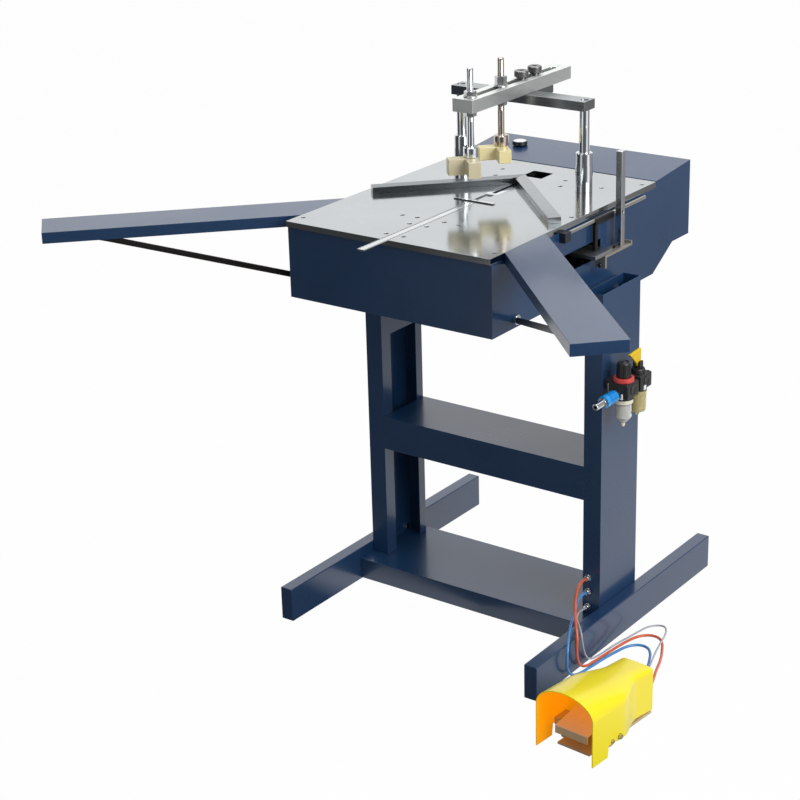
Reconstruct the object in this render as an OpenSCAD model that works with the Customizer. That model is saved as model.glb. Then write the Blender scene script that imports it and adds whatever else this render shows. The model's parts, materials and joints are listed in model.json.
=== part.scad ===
// Picture frame underpinner: a steel table with mitre fences on a sheet-metal stand, a powered
// clamp bridge above it, a nailing head that shifts under it, and a foot valve on three hoses.
// X runs to the operator's right, Y to the back and Z up. Pieces are placed from the middle of the
// table's front edge on the floor, and the whole is then moved back to the middle of its own box.

/* [Table] */
// Width of the table plate
plate_w = 486; // [470:2:500]
// Depth of the table plate
plate_d = 626; // [616:2:650]
// Thickness of the table plate
plate_t = 12; // [10:1:16]
// Height of the table top above the floor
table_h = 920; // [900:5:960]
// Side of the square opening behind the fences
window = 48; // [36:2:56]
// Distance of that opening's middle from the front edge
window_y = 549; // [540:1:560]
// Width of the nail slot
nail_slot_w = 9; // [9:0.5:12]
// Length of the nail slot
nail_slot_l = 84; // [80:2:90]
// Width of the ruler bar
ruler_w = 19; // [14:1:24]
// Thickness of the ruler
ruler_t = 2.5; // [2:0.5:4]
// Length of the ruler bar
ruler_l = 388; // [360:2:392]
// Length of the ruler's cross head
ruler_head_l = 96; // [60:2:120]
// Width of the ruler's cross head
ruler_head_w = 8; // [6:1:12]

/* [Fences] */
// Height of a fence
fence_h = 13; // [8:1:25]
// Thickness of a fence
fence_t = 27; // [20:1:32]
// Length of a fence's face
fence_l = 301; // [260:1:304]
// Distance of the nailing corner from the front edge
corner_y = 462; // [460:1:466]

/* [Case] */
// Sheet thickness of the case and the stand
sheet = 2.5; // [2:0.25:3]
// Depth of the case front below the table plate
case_h = 148; // [140:2:154]
// How far the side skirts hang below the case front
skirt_drop = 40; // [36:1:46]
// Depth of the rear box behind the table plate
rear_l = 149; // [140:1:160]
// Rise of the rear cover above the table top
cover_rise = 14; // [8:1:20]
// Diameter of the rear cover's thumb screw
cover_knob_d = 34; // [26:1:40]
// Height of the thumb screw's head
cover_knob_h = 10; // [8:1:14]

/* [Stand] */
// Distance between the outer faces of the columns
stand_w = 596; // [592:2:604]
// Width of a column across the machine
column_w = 42; // [38:1:44]
// Depth of a column from front to back
column_d = 150; // [140:2:156]
// Distance of the columns' front from the table's front edge
column_y = 320; // [316:1:324]
// Width of the lip at a column's front
lip_w = 33; // [28:1:36]
// Length of a foot
foot_l = 730; // [700:5:760]
// Height of a foot
foot_h = 76; // [70:1:80]
// Width of a foot
foot_w = 30; // [26:1:32]
// Height of the upper shelf's underside
shelf_z = 312; // [290:2:340]
// Height of the upper shelf's front
shelf_h = 76; // [60:2:90]
// Depth of the lower shelf
low_shelf_d = 220; // [200:2:240]
// Height of the lower shelf's front
low_shelf_h = 48; // [44:1:52]

/* [Wings] */
// Width of a wing
wing_w = 102; // [92:1:104]
// Length of a wing's front edge
wing_l = 515; // [480:5:560]
// Height of a wing's side
wing_h = 23; // [21:1:26]
// Where a wing's front edge meets the table's side
wing_y = 50; // [44:1:54]
// Leg of a strut's angle section
strut_leg = 12; // [10:1:16]
// Thickness of a strut's legs
strut_t = 3; // [2.5:0.5:4]

/* [Clamp bridge] */
// Distance between the posts
post_gap = 302; // [296:2:310]
// Diameter of a post
post_d = 22; // [20:1:24]
// Distance of the posts from the table's front edge
post_y = 488; // [486:1:490]
// Outer diameter of a post sleeve
sleeve_d = 36; // [32:1:40]
// Height of a post sleeve above the table
sleeve_h = 82; // [70:1:86]
// Height of the crossbar's underside above the table
bar_lift = 171; // [168:1:176]
// Length of the crossbar
bar_l = 326; // [324:2:340]
// Depth of the crossbar
bar_d = 42; // [38:1:46]
// Thickness of the crossbar
bar_t = 20; // [18:1:24]
// Length of the crossbar's tongue behind it
tongue_l = 64; // [60:1:68]
// Thickness of the tongue
tongue_t = 16; // [13:1:17]
// Travel of the clamp bridge
clamp_travel = 50; // [40:1:50]
// Width of the slotted arm
arm_w = 49; // [46:1:54]
// Length of the slotted arm
arm_l = 372; // [368:2:380]
// Thickness of the slotted arm
arm_t = 27; // [24:1:28]
// Width of the arm's slot
arm_slot_w = 16; // [15:0.5:18]
// Distance of the arm's front end from the table's front edge
arm_y = 271; // [268:1:272]

/* [Press rods] */
// Diameter of a press rod
rod_d = 14; // [12:1:14]
// Distance of the front rod from the table's front edge
front_rod_y = 299; // [298:1:302]
// Distance of the rear rod from the table's front edge
rear_rod_y = 410; // [408:1:412]
// Height of the rods' tops above the table
rod_top = 276; // [264:1:290]
// Width of a rod nut across its flats
nut_af = 22; // [20:1:24]
// Height of a rod nut
nut_h = 9; // [8:0.5:9]
// Diameter of a rod cap
cap_d = 31; // [26:1:32]
// Height of a rod cap
cap_h = 22; // [16:1:26]
// Length of each arm of a press pad
pad_l = 60; // [52:1:62]
// Width of a pad's arms
pad_w = 26; // [24:1:27]
// Height of the front pad
front_pad_h = 33; // [26:1:33]
// Height of the rear pad
rear_pad_h = 27; // [24:1:33]
// Height of the pads' tops above the table
pad_top = 95; // [94:1:96]
// Diameter of a knurled knob
knob_d = 30; // [26:1:34]
// Height of a knurled knob
knob_h = 18; // [14:1:20]

/* [Nailing head] */
// Diameter of a slide rail
rail_d = 16; // [14:1:18]
// Distance between the slide rails
rail_gap = 140; // [132:2:144]
// Travel of the head along the mitre
head_travel = 70; // [50:2:70]
// Outer diameter of the drive cylinder
drive_d = 84; // [76:1:86]
// Bore of the drive cylinder
drive_bore = 64; // [58:1:66]
// Stroke of the hammer
hammer_stroke = 35; // [30:1:35]
// Width of the nail magazine
magazine_w = 24; // [20:1:28]
// Side of the square lever bar
lever_side = 14; // [12:1:15]
// Length of the lever bar
lever_l = 197; // [180:1:215]
// Diameter of the side guide rod
side_rod_d = 8; // [7:0.5:9]

/* [Air unit] */
// Side of the regulator and lubricator bodies
unit_side = 46; // [42:1:47]
// Diameter of the regulator knob
reg_knob_d = 30; // [26:1:32]
// Height of the regulator knob
reg_knob_h = 34; // [28:1:40]
// Diameter of the lock ring
ring_d = 43; // [40:1:45]
// Height of the lock ring
ring_h = 9; // [7:0.5:10]
// Diameter of the bowls
bowl_d = 38; // [34:1:40]
// Length of the valve lever
valve_lever_l = 32; // [26:1:36]
// Outer diameter of the coupler sleeve
coupler_d = 26; // [24:1:30]
// Diameter of the orange and the blue hose
hose_d = 6; // [5:0.5:7]
// Diameter of the clear hose
clear_hose_d = 4; // [3:0.5:5]

/* [Foot valve] */
// Width of the guard
guard_w = 135; // [132:1:140]
// Length of the guard
guard_l = 242; // [238:1:248]
// Height of the guard's arch at the front
guard_h = 137; // [134:1:144]
// Height of the guard at the back
guard_rear_h = 100; // [98:1:106]
// Width of the guard at the back
guard_rear_w = 76; // [76:1:84]
// Wall of the guard
guard_t = 3; // [2.5:0.25:3.5]
// Width of the treadle
treadle_w = 76; // [70:1:80]
// Length of the treadle ahead of its hinge
treadle_l = 140; // [136:1:142]
// Distance of the guard's middle from the machine's middle
guard_x = 482; // [478:1:484]
// Turn of the foot valve on the floor, in degrees
foot_turn = -5; // [-8:1:0]

/* [Hidden] */
$fn = 48;

// Shared small values
over = 1;          // how far a cut runs past what it cuts
run_fit = 0.05;    // radial gap of a running fit
gap = 0.2;         // radial gap round a fixed shank
lift = 0.3;        // gap between pieces that move past each other
root2 = sqrt(2);
quarter = 90;
colour_blue = "#2b4162";
colour_grey = "#8b95a3";
colour_steel = "#cfd3d6";
colour_chrome = "#e3e6ea";
colour_dark = "#3a3c3f";

// Table
plate_x = plate_w/2;
plate_z = table_h - plate_t;
groove_gap = 0.1;
ruler_back = 149;
groove_reach = 54;
slot_reach = 2;
ruler_y = corner_y - ruler_back - ruler_l;
ruler_groove_y = ruler_y + ruler_l + groove_reach;
slot_y = corner_y + slot_reach - nail_slot_l;
guide_w = 30;
guide_t = 6;
guide_margin = 8;
screw_head_d = 9;
screw_head_h = 5;
screw_d = 5;
screw_sink = 0.3;
// Places of the plate's screws, as shares of its half width and of its depth
screw_shares = [[-0.94, 0.06], [0.94, 0.06], [-0.94, 0.945], [0.94, 0.945], [-0.81, 0.57],
    [0.94, 0.5], [-0.28, 0.246], [-0.135, 0.248], [0.135, 0.248], [0.28, 0.246],
    [-0.085, 0.179], [0.085, 0.179], [-0.085, 0.055], [0.085, 0.055], [-0.31, 0.8],
    [0.31, 0.86], [-0.37, 0.88], [0.37, 0.79], [0.7, 0.842], [-0.7, 0.842]];

// Fences
fence_shift = fence_t*root2;
fence_end = fence_l/root2;
fence_notch_d = 10;

// Case
body_x = plate_x;
body_y0 = 5;
front_z = plate_z - case_h;
skirt_z = front_z - skirt_drop;
skirt_lead = 30;
skirt_tail = 6;
skirt_y0 = column_y - skirt_lead;
skirt_y1 = plate_d - skirt_tail;
skirt_slope = 50;
rear_slope = 83;
pan_lift = 10;
pan_z = front_z + pan_lift;
pan_t = 4;
rear_y = plate_d + rear_l;
cover_gap = 1.5;
cover_y0 = plate_d + cover_gap;
cover_seam = 1;
cover_z0 = table_h + cover_seam;
cover_z1 = table_h + cover_rise;
cover_slope = (cover_z1 - cover_z0)/(rear_y - cover_y0);
flange_w = 20;
cover_flange = 40;
cover_knob_x = -150;
cover_knob_back = 87;
cover_knob_y = plate_d + cover_knob_back;
cover_knob_z = cover_z0 + cover_slope*(cover_knob_y - cover_y0);
cover_stud_d = 8;
cover_stud_l = 22;
lever_slot_drop = 90;
lever_slot_h = 38;
lever_slot_gap = 6;
lever_slot_z0 = plate_z - lever_slot_drop;

// Stand
column_x = stand_w/2;
column_x0 = column_x - column_w;
column_y1 = column_y + column_d;
low_shelf_z = 4;
column_z0 = low_shelf_z + low_shelf_h;
column_lap = 48;
column_z1 = skirt_z + column_lap;
lip_back_w = 24;
closed_top_h = 195;
open_top_z = column_z1 - closed_top_h;
foot_lead = 296;
foot_y0 = column_y - foot_lead;
foot_wall = 3;
low_shelf_lead = 49;
low_shelf_y0 = column_y - low_shelf_lead;
bolt_d = 8;
bolt_af = 13;
bolt_h = 5.3;
bolt_edge = 25;

// Wings: a wing is a band at 45 degrees; near and far are the sums of x and y along its edges
wing_near = plate_x + wing_y;
wing_far = wing_near + wing_w*root2;
wing_end = plate_x - wing_y + wing_l*root2;
wing_z = table_h - wing_h;
wing_sheet = sheet*root2;
wing_bolt_edge = 30;
strut_inset = 17;
strut_wing_sum = wing_near + strut_inset;
strut_wing_diff = 740;
strut_foot_y = 83;
strut_foot_rise = 18;
strut_foot_z = front_z + strut_foot_rise;
eye_d = 20;
eye_t = 8;
eye_bore = 8;

// Clamp bridge
post_x = post_gap/2;
sleeve_z1 = table_h + sleeve_h;
sleeve_shoulder = 3;
spigot_d = sleeve_d - 2*sleeve_shoulder;
bar_z = table_h + bar_lift;
arm_z = bar_z + bar_t;
arm_z1 = arm_z + arm_t;
cyl_d = 56;
cyl_bore = 44;
cyl_cap = 10;
pan_top = pan_z + pan_t;
piston_h = 14;
piston_top = plate_z - cyl_cap;
post_z0 = piston_top - piston_h;
closed_share = 0.5;  // a return spring's shortest length as a share of its free length
spring_z0 = post_z0 - clamp_travel/(1 - closed_share);
post_screw_head_d = 16;
post_screw_head_h = 7;
post_screw_sink = 2;
post_screw_d = 10;
post_screw_l = 22;
post_key_af = 8;
post_key_h = 4;
spring_wall = 2;
arm_front_land = 13;
arm_rear_land = 26;
arm_slot_y0 = arm_y + arm_front_land;
arm_slot_y1 = arm_y + arm_l - arm_rear_land;
arm_hole_d = 6;
arm_hole_inset = 7;
knob_lead = 1;
knob_pitch = 51;
knob_y = [post_y - knob_lead, post_y - knob_lead + knob_pitch];
knob_stud_d = 10;
washer_t = 3;
washer_d = 28;
cap_z0 = table_h + pad_top;
rod_z0 = cap_z0 + cap_h;
pad_shift = 16;

// Nailing head
rail_x = rail_gap/2;
rail_rise = 18;
rail_z = pan_top + rail_rise;
rail_block = 28;
rail_block_l = 15;
rail_y0 = 20;
rail_tail = 57;
rail_y1 = window_y + rail_tail;
head_lead = 7;
head_y = corner_y - head_lead;
carriage_hw = 95;
carriage_lead = 70;
carriage_tail = 16;
carriage_below = 10;
carriage_above = 14;
carriage_y0 = head_y - carriage_lead;
carriage_y1 = window_y + carriage_tail;
carriage_z0 = rail_z - carriage_below;
carriage_z1 = rail_z + carriage_above;
drive_drop = 42;
drive_z1 = plate_z - drive_drop;
drive_cap = 8;
drive_floor = 4;
piston_rest = 2;
piston_t = 10;
ram_d = 20;
ram_gap = 1;
ram_z1 = plate_z - ram_gap - hammer_stroke;
piston_z0 = carriage_z1 + drive_floor + piston_rest;
blade_w = 7;
blade_l = 9;
blade_rise = 1;
blade_z1 = table_h + blade_rise - hammer_stroke;
magazine_h = 22;
magazine_drop = 2;
magazine_z0 = plate_z - magazine_drop - magazine_h;
magazine_y0 = 200;
magazine_gap = 1;
magazine_y1 = head_y - ram_d/2 - magazine_gap;
nail_w = 7.4;
nail_h = 11;
pusher_l = 34;
pusher_rest = 2;
pusher_y1 = magazine_y1 - pusher_rest;
stop_d = 26;
stop_drop = 8;
stop_z1 = plate_z - stop_drop;
riser_w = 15;
arm_bar_t = 8;
arm_bar_w = 65;
arm_bar_rise = 15;
arm_bar_lead = 10;
arm_bar_z = lever_slot_z0 + arm_bar_rise;
arm_bar_y0 = column_y + arm_bar_lead;
arm_bar_y1 = arm_bar_y0 + arm_bar_w;
bracket_t = 5;
bracket_lead = 47;
bracket_out = 7;
bracket_y0 = column_y + bracket_lead;
bracket_l = 107;
bracket_x0 = body_x + bracket_out;
bracket_w = 25;
bracket_z = arm_bar_z - bracket_t;
tab_h = 27;
lever_out = 20;
lever_back = 123;
lever_x = body_x + lever_out;
lever_y = column_y + lever_back;
rod_gap = 3;
rod_drop = 5;
rod_pin_inset = 6;
side_rod_x = body_x + side_rod_d/2 + rod_gap;
side_rod_z = plate_z - rod_drop;
side_rod_y0 = 254;
side_rod_y1 = 566;
block_l = 22;
block_w = 14;
block_h = 20;
slider_lead = 42;
slider_y0 = column_y + slider_lead;
slider_l = 70;
slider_below = 9;
slider_above = 4;
slider_inset = 1;
hanger_l = 10;
hanger_in = 3;
hanger_out = 4;

// Air unit
unit_out = 38;
unit_back = 20;
unit_x = column_x + unit_out;
unit_y = column_y + unit_back;
unit_z0 = 551;
unit_h = 37;
unit_pitch = 58;
lub_y = unit_y + unit_pitch;
lub_h = 47;
neck_d = 30;
bowl_h = 52;
bowl_wall = 2.5;
bowl_gap = 0.5;
drain_d = 8;
drain_h = 9;
oil_bowl_h = 46;
knob_z0 = unit_z0 + unit_h + ring_h;
knob_stem_d = 14;
lever_pin_d = 6;
lever_pin_rise = 9;
lever_pin_z = unit_z0 + lub_h + lever_pin_rise;
ear_t = 5;
ear_gap = 7;
lever_t = ear_gap - 2*lift;
lever_head_w = 44;
lever_root_w = 14;
lever_head_fall = 3;
coupler_rise = 16;
coupler_z = unit_z0 + coupler_rise;
coupler_y1 = unit_y - unit_side/2;
coupler_l = 88;
coupler_stem_d = 16;
coupler_bore = 7;
coupler_floor = 6;
coupler_hex_af = 20;
coupler_hex_gap = 2;
nozzle_d = 12;
nozzle_l = 22;
stop_ring_d = 22;
stop_ring_l = 5;
sleeve_out = 56;
sleeve_y0 = coupler_y1 - sleeve_out;
sleeve_l = 40;
sleeve_travel = 4;

// Hose fittings on the right column's front
fit_inset = 26;
fit_x = column_x - fit_inset;
fit_z = [140, 108, 72];
fit_af = 14;
fit_hex_l = 6;
fit_nose_d = 11;
fit_nose_l = 10;
fit_y = column_y - fit_hex_l - fit_nose_l;

// Foot valve
guard_y0 = -122;
guard_side_h = 95;
guard_raise = 25;
guard_rear_raise = 6;
guard_leg_l = 49;
guard_waist_from = 95;
guard_waist_to = 190;
guard_steps = 12;
arch_steps = 12;
base_t = 5;
base_back = 30;
base_y0 = guard_y0 + base_back;
cheek_l = 38;
cheek_back = 56;
cheek_y0 = guard_y0 + cheek_back;
cheek_h = 38;
cheek_w = 14;
pedal_bolt_edge = 7;
pedal_bolt_y = [cheek_y0 + pedal_bolt_edge, cheek_y0 + cheek_l - pedal_bolt_edge];
pedal_bolt_z = 30;
hinge_back = 162;
hinge_y = guard_y0 + hinge_back;
hinge_z = 66;
hinge_d = 8;
hinge_tube_d = 14;
hinge_ear_t = 6;
treadle_t = 4;
treadle_front_z = 42;
treadle_lip = 13;
guard_shoulder = 10;
guard_back = guard_y0 + guard_l;
valve_w = 50;
valve_back = 112;
valve_y0 = guard_y0 + valve_back;
valve_l = 93;
valve_y1 = valve_y0 + valve_l;
valve_z1 = 46;
plunger_d = 8;
plunger_arm = 30;
plunger_l = 22;
plunger_travel = 4.5;
treadle_slope = (hinge_z - treadle_front_z)/treadle_l;
port_gap = 15;
port_z = 34;
port_d = 11;
port_l = 9;
port_y = valve_y1 + port_l;

// Hose routes
orange_path = [[272, 304, 140], [272, 292, 140], [275, 272, 137], [284, 248, 131], [300, 218, 120],
    [320, 187, 104], [333, 171, 83], [337, 164, 59], [337, 167, 34], [338, 178, 15], [340, 197, 5],
    [342, 222, 3], [350, 296, 3], [355, 332, 3], [361, 358, 3], [372, 378, 3], [388, 388, 3],
    [405, 386, 3], [420, 372, 3], [435, 346, 3], [454, 304, 3], [468, 262, 3], [484, 220, 5],
    [501, 180, 17], [514, 150, 30], [519.3, 131.7, 34], [517.3, 109.8, 34], [515.6, 89.9, 34]];
blue_path = [[272, 304, 108], [272, 292, 108], [274, 276, 106], [283, 250, 102], [300, 208, 98],
    [319, 164, 93], [334, 134, 80], [340, 121, 57], [340, 122, 33], [341, 137, 13], [343, 160, 4],
    [347, 192, 3], [356, 266, 3], [361, 292, 3], [366, 313, 3], [376, 330, 3], [390, 338, 3],
    [406, 335, 3], [420, 321, 3], [435, 292, 3], [447, 262, 3], [459, 222, 4], [472, 182, 14],
    [484, 154, 28], [489.4, 134.3, 34], [487.5, 112.4, 34], [485.7, 92.5, 34]];
clear_path = [[272, 304, 72], [272, 297, 72], [275, 281, 76], [287, 250, 84], [302, 222, 91],
    [318, 202, 92], [331, 190, 82], [336, 187, 64], [336, 193, 43], [335, 205, 22], [334, 222, 8],
    [334, 244, 2], [342, 320, 2], [350, 364, 2], [355, 396, 2], [361, 420, 2], [373, 435, 2],
    [388, 436, 4], [402, 422, 7], [414, 398, 10], [427, 356, 14], [440, 310, 16], [457, 258, 17],
    [474, 212, 20], [488, 176, 28], [499, 152, 33], [504.3, 133, 34], [502.4, 111.1, 34],
    [500.7, 91.2, 34]];
hose_sides = 8;

// Origin: the middle of the model's own box
box_y0 = (wing_near - wing_end)/2;
mid_y = (box_y0 + rear_y)/2;

// Helpers
module at_origin() translate([0, -mid_y, 0]) children();
module span(x0, x1, y0, y1, z0, z1) translate([x0, y0, z0]) cube([x1 - x0, y1 - y0, z1 - z0]);
module round_z(x, y, z0, z1, d) translate([x, y, z0]) cylinder(h = z1 - z0, d = d);
module round_y(x, z, y0, y1, d)
    translate([x, y0, z]) rotate([-quarter, 0, 0]) cylinder(h = y1 - y0, d = d);
module round_x(y, z, x0, x1, d)
    translate([x0, y, z]) rotate([0, quarter, 0]) cylinder(h = x1 - x0, d = d);
module hex_z(x, y, z0, z1, af) translate([x, y, z0]) cylinder(h = z1 - z0, d = af/cos(30), $fn = 6);
module hex_x(y, z, x0, x1, af)
    translate([x0, y, z]) rotate([0, quarter, 0]) cylinder(h = x1 - x0, d = af/cos(30), $fn = 6);
module hex_y(x, z, y0, y1, af)
    translate([x, y0, z]) rotate([-quarter, 0, 0]) cylinder(h = y1 - y0, d = af/cos(30), $fn = 6);
// A profile drawn in Y and Z, drawn out along X from x0 to x1
module side_slab(x0, x1, points)
    translate([x0, 0, 0]) rotate([quarter, 0, quarter]) linear_extrude(x1 - x0) polygon(points);
module mirrored() {
    children();
    mirror([1, 0, 0]) children();
}

// Stand
module foot() {
    difference() {
        span(column_x, column_x + foot_w, foot_y0, foot_y0 + foot_l, 0, foot_h);
        span(column_x + foot_wall, column_x + foot_w - foot_wall, foot_y0 + foot_wall,
            foot_y0 + foot_l - foot_wall, foot_wall, foot_h - foot_wall);
        foot_bolt_places() round_x(0, 0, column_x - over, column_x + foot_wall + over,
            bolt_d + 2*gap);
    }
}
module feet() color(colour_blue) mirrored() foot();

module foot_bolt_places() {
    for (y = [column_y + bolt_edge, column_y1 - bolt_edge])
        translate([0, y, (column_z0 + foot_h)/2]) children();
}
module body_bolt_places() {
    for (y = [column_y + bolt_edge, column_y1 - bolt_edge])
        translate([0, y, (skirt_z + column_z1)/2]) children();
}
module wing_bolt_places() {
    for (y = [wing_y + wing_bolt_edge, wing_y + wing_w*root2 - wing_bolt_edge])
        translate([0, y, (wing_z + plate_z)/2]) children();
}

module column() {
    wall = sheet;
    difference() {
        union() {
            difference() {
                span(column_x0, column_x, column_y, column_y1, column_z0, column_z1);
                span(column_x0 + wall, column_x - wall, column_y + wall, column_y1 - wall,
                    column_z0 - over, column_z1 + over);
                span(column_x0 - over, column_x0 + wall + over, column_y + lip_w,
                    column_y1 - lip_back_w, column_z0 - over, open_top_z);
            }
            span(body_x, column_x0 + wall, column_y + lip_w/2, column_y1 - lip_w/2,
                skirt_z, column_z1 - wall);
        }
        foot_bolt_places() round_x(0, 0, column_x - wall - over, column_x + over,
            bolt_d + 2*gap);
        body_bolt_places() round_x(0, 0, body_x - over, column_x0 + wall + over,
            bolt_d + 2*gap);
    }
}
module left_column() color(colour_blue) mirror([1, 0, 0]) column();
module right_column() color(colour_blue) difference() {
    column();
    for (z = fit_z)
        round_y(fit_x, z, column_y - over, column_y + sheet + over, fit_nose_d + 2*gap);
}

module upper_shelf() color(colour_blue) difference() {
    span(-column_x0, column_x0, column_y, column_y1, shelf_z, shelf_z + shelf_h);
    span(-column_x0 - over, column_x0 + over, column_y + sheet, column_y1 - sheet,
        shelf_z - over, shelf_z + shelf_h - sheet);
}

module lower_shelf() color(colour_blue) difference() {
    span(-column_x, column_x, low_shelf_y0, low_shelf_y0 + low_shelf_d, low_shelf_z, column_z0);
    span(-column_x + sheet, column_x - sheet, low_shelf_y0 + sheet,
        low_shelf_y0 + low_shelf_d - sheet, low_shelf_z - over, column_z0 - sheet);
}

module frame_bolts() color(colour_chrome) mirrored() {
    foot_bolt_places() {
        hex_x(0, 0, column_x - sheet - bolt_h, column_x - sheet, bolt_af);
        round_x(0, 0, column_x - sheet, column_x + foot_wall, bolt_d);
    }
    body_bolt_places() {
        hex_x(0, 0, column_x0 + sheet, column_x0 + sheet + bolt_h, bolt_af);
        round_x(0, 0, body_x - sheet, column_x0 + sheet, bolt_d);
    }
    wing_bolt_places() {
        hex_x(0, 0, body_x + sheet, body_x + sheet + bolt_h, bolt_d);
        round_x(0, 0, body_x - sheet, body_x + sheet, screw_d);
    }
    difference() {
        round_x(strut_foot_y, strut_foot_z, body_x, body_x + eye_t, eye_d);
        round_x(strut_foot_y, strut_foot_z, body_x + eye_t/2, body_x + eye_t + over, eye_bore);
    }
    round_x(strut_foot_y, strut_foot_z, body_x - sheet, body_x, bolt_d);
}

// Case
side_outline = [[body_y0, front_z], [skirt_y0 - skirt_slope, front_z], [skirt_y0, skirt_z],
    [skirt_y1, skirt_z], [skirt_y1 + rear_slope, pan_z], [rear_y, pan_z],
    [rear_y, cover_z1 - sheet], [cover_y0, cover_z0 - sheet], [cover_y0, plate_z],
    [body_y0, plate_z]];

module body_box() color(colour_blue) difference() {
    union() {
        mirrored() {
            side_slab(body_x - sheet, body_x, side_outline);
            span(body_x - flange_w, body_x - sheet, body_y0 + sheet, plate_d - flange_w,
                plate_z - sheet, plate_z);
        }
        span(-body_x + sheet, body_x - sheet, body_y0, body_y0 + sheet, front_z, plate_z);
        span(-body_x + flange_w, body_x - flange_w, body_y0 + sheet, body_y0 + flange_w,
            plate_z - sheet, plate_z);
        span(-body_x + sheet, body_x - sheet, rear_y - sheet, rear_y, pan_z, cover_z1 - 2*sheet);
    }
    mirrored() {
        body_bolt_places() round_x(0, 0, body_x - sheet - over, body_x + over, bolt_d + 2*gap);
        wing_bolt_places() round_x(0, 0, body_x - sheet - over, body_x + over, screw_d + 2*gap);
        round_x(strut_foot_y, strut_foot_z, body_x - sheet - over, body_x + over,
            bolt_d + 2*gap);
    }
    span(body_x - sheet - over, body_x + over, arm_bar_y0 - head_travel - lever_slot_gap,
        arm_bar_y1 + lever_slot_gap, lever_slot_z0, lever_slot_z0 + lever_slot_h);
    plate_screw_places() round_z(0, 0, plate_z - sheet - over, plate_z + over,
        screw_d + 2*gap);
}

module base_pan() color(colour_blue) span(-body_x + sheet, body_x - sheet, body_y0 + sheet,
    rear_y - sheet, pan_z, pan_z + pan_t);

module rear_cover() color(colour_grey) difference() {
    union() {
        side_slab(-body_x, body_x, [[cover_y0, cover_z0 - sheet], [rear_y, cover_z1 - sheet],
            [rear_y, cover_z1], [cover_y0, cover_z0]]);
        span(-body_x + sheet, body_x - sheet, cover_y0, cover_y0 + sheet,
            cover_z0 - cover_flange, cover_z0 - sheet);
    }
    round_z(cover_knob_x, cover_knob_y, cover_knob_z - 2*sheet, cover_knob_z + over,
        cover_stud_d + 2*run_fit);
}

module cover_knob() color(colour_dark) {
    z = cover_knob_z + cover_slope*cover_knob_d/2 + lift;
    round_z(cover_knob_x, cover_knob_y, z + sheet, z + cover_knob_h, cover_knob_d - 2*sheet);
    round_z(cover_knob_x, cover_knob_y, z, z + sheet, cover_knob_d);
    round_z(cover_knob_x, cover_knob_y, z - cover_stud_l, z, cover_stud_d);
}

// Table
module plate_screw_places() {
    for (s = screw_shares) translate([s[0]*plate_x, s[1]*plate_d, 0]) children();
}

module table_plate() color(colour_steel) difference() {
    span(-plate_x, plate_x, 0, plate_d, plate_z, table_h);
    plate_screw_places() {
        round_z(0, 0, plate_z - over, table_h + over, screw_d + 2*gap);
        round_z(0, 0, table_h - screw_head_h - screw_sink, table_h + over,
            screw_head_d + 2*gap);
    }
    span(-ruler_w/2 - groove_gap, ruler_w/2 + groove_gap, -over, ruler_groove_y,
        table_h - ruler_t, table_h + over);
    span(-guide_w/2, guide_w/2, slot_y - guide_margin, slot_y + nail_slot_l + guide_margin,
        table_h - guide_t, table_h + over);
    span(-ram_d/2 - over, ram_d/2 + over, slot_y - over, slot_y + nail_slot_l + over,
        plate_z - over, table_h);
    span(-window/2, window/2, window_y - window/2, window_y + window/2, plate_z - over,
        table_h + over);
    mirrored() round_z(post_x, post_y, plate_z - over, table_h + over, spigot_d);
}

module plate_screws() color(colour_dark) plate_screw_places() {
    round_z(0, 0, table_h - screw_head_h - screw_sink, table_h - screw_sink, screw_head_d);
    round_z(0, 0, plate_z - sheet, table_h - screw_head_h - screw_sink, screw_d);
}

module nail_guide() color(colour_chrome) difference() {
    span(-guide_w/2, guide_w/2, slot_y - guide_margin, slot_y + nail_slot_l + guide_margin,
        table_h - guide_t, table_h);
    span(-nail_slot_w/2, nail_slot_w/2, slot_y, slot_y + nail_slot_l, table_h - guide_t - over,
        table_h + over);
}

module t_ruler() color(colour_chrome) {
    span(-ruler_w/2, ruler_w/2, ruler_y, ruler_y + ruler_l, table_h - ruler_t, table_h);
    span(-ruler_head_l/2, ruler_head_l/2, ruler_y + ruler_l - ruler_head_w, ruler_y + ruler_l,
        table_h, table_h + ruler_t);
}

module wing() {
    inner_near = wing_near + wing_sheet;
    inner_far = wing_far - wing_sheet;
    inner_end = wing_end - wing_sheet;
    difference() {
        translate([0, 0, wing_z]) linear_extrude(wing_h)
            polygon(band(wing_near, wing_far, plate_x, wing_end));
        translate([0, 0, wing_z - over]) linear_extrude(wing_h - sheet + over)
            polygon(band(inner_near, inner_far, plate_x + sheet, inner_end));
        wing_bolt_places() round_x(0, 0, body_x - over, body_x + sheet + over,
            screw_d + 2*gap);
    }
}
// A band at 45 degrees between two sums of x and y, cut at x = side and square at its end
function band(near, far, side, end) = [[side, near - side], [side, far - side],
    [(far + end)/2, (far - end)/2], [(near + end)/2, (near - end)/2]];
module left_wing() color(colour_grey) mirror([1, 0, 0]) wing();
module right_wing() color(colour_grey) wing();

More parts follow.
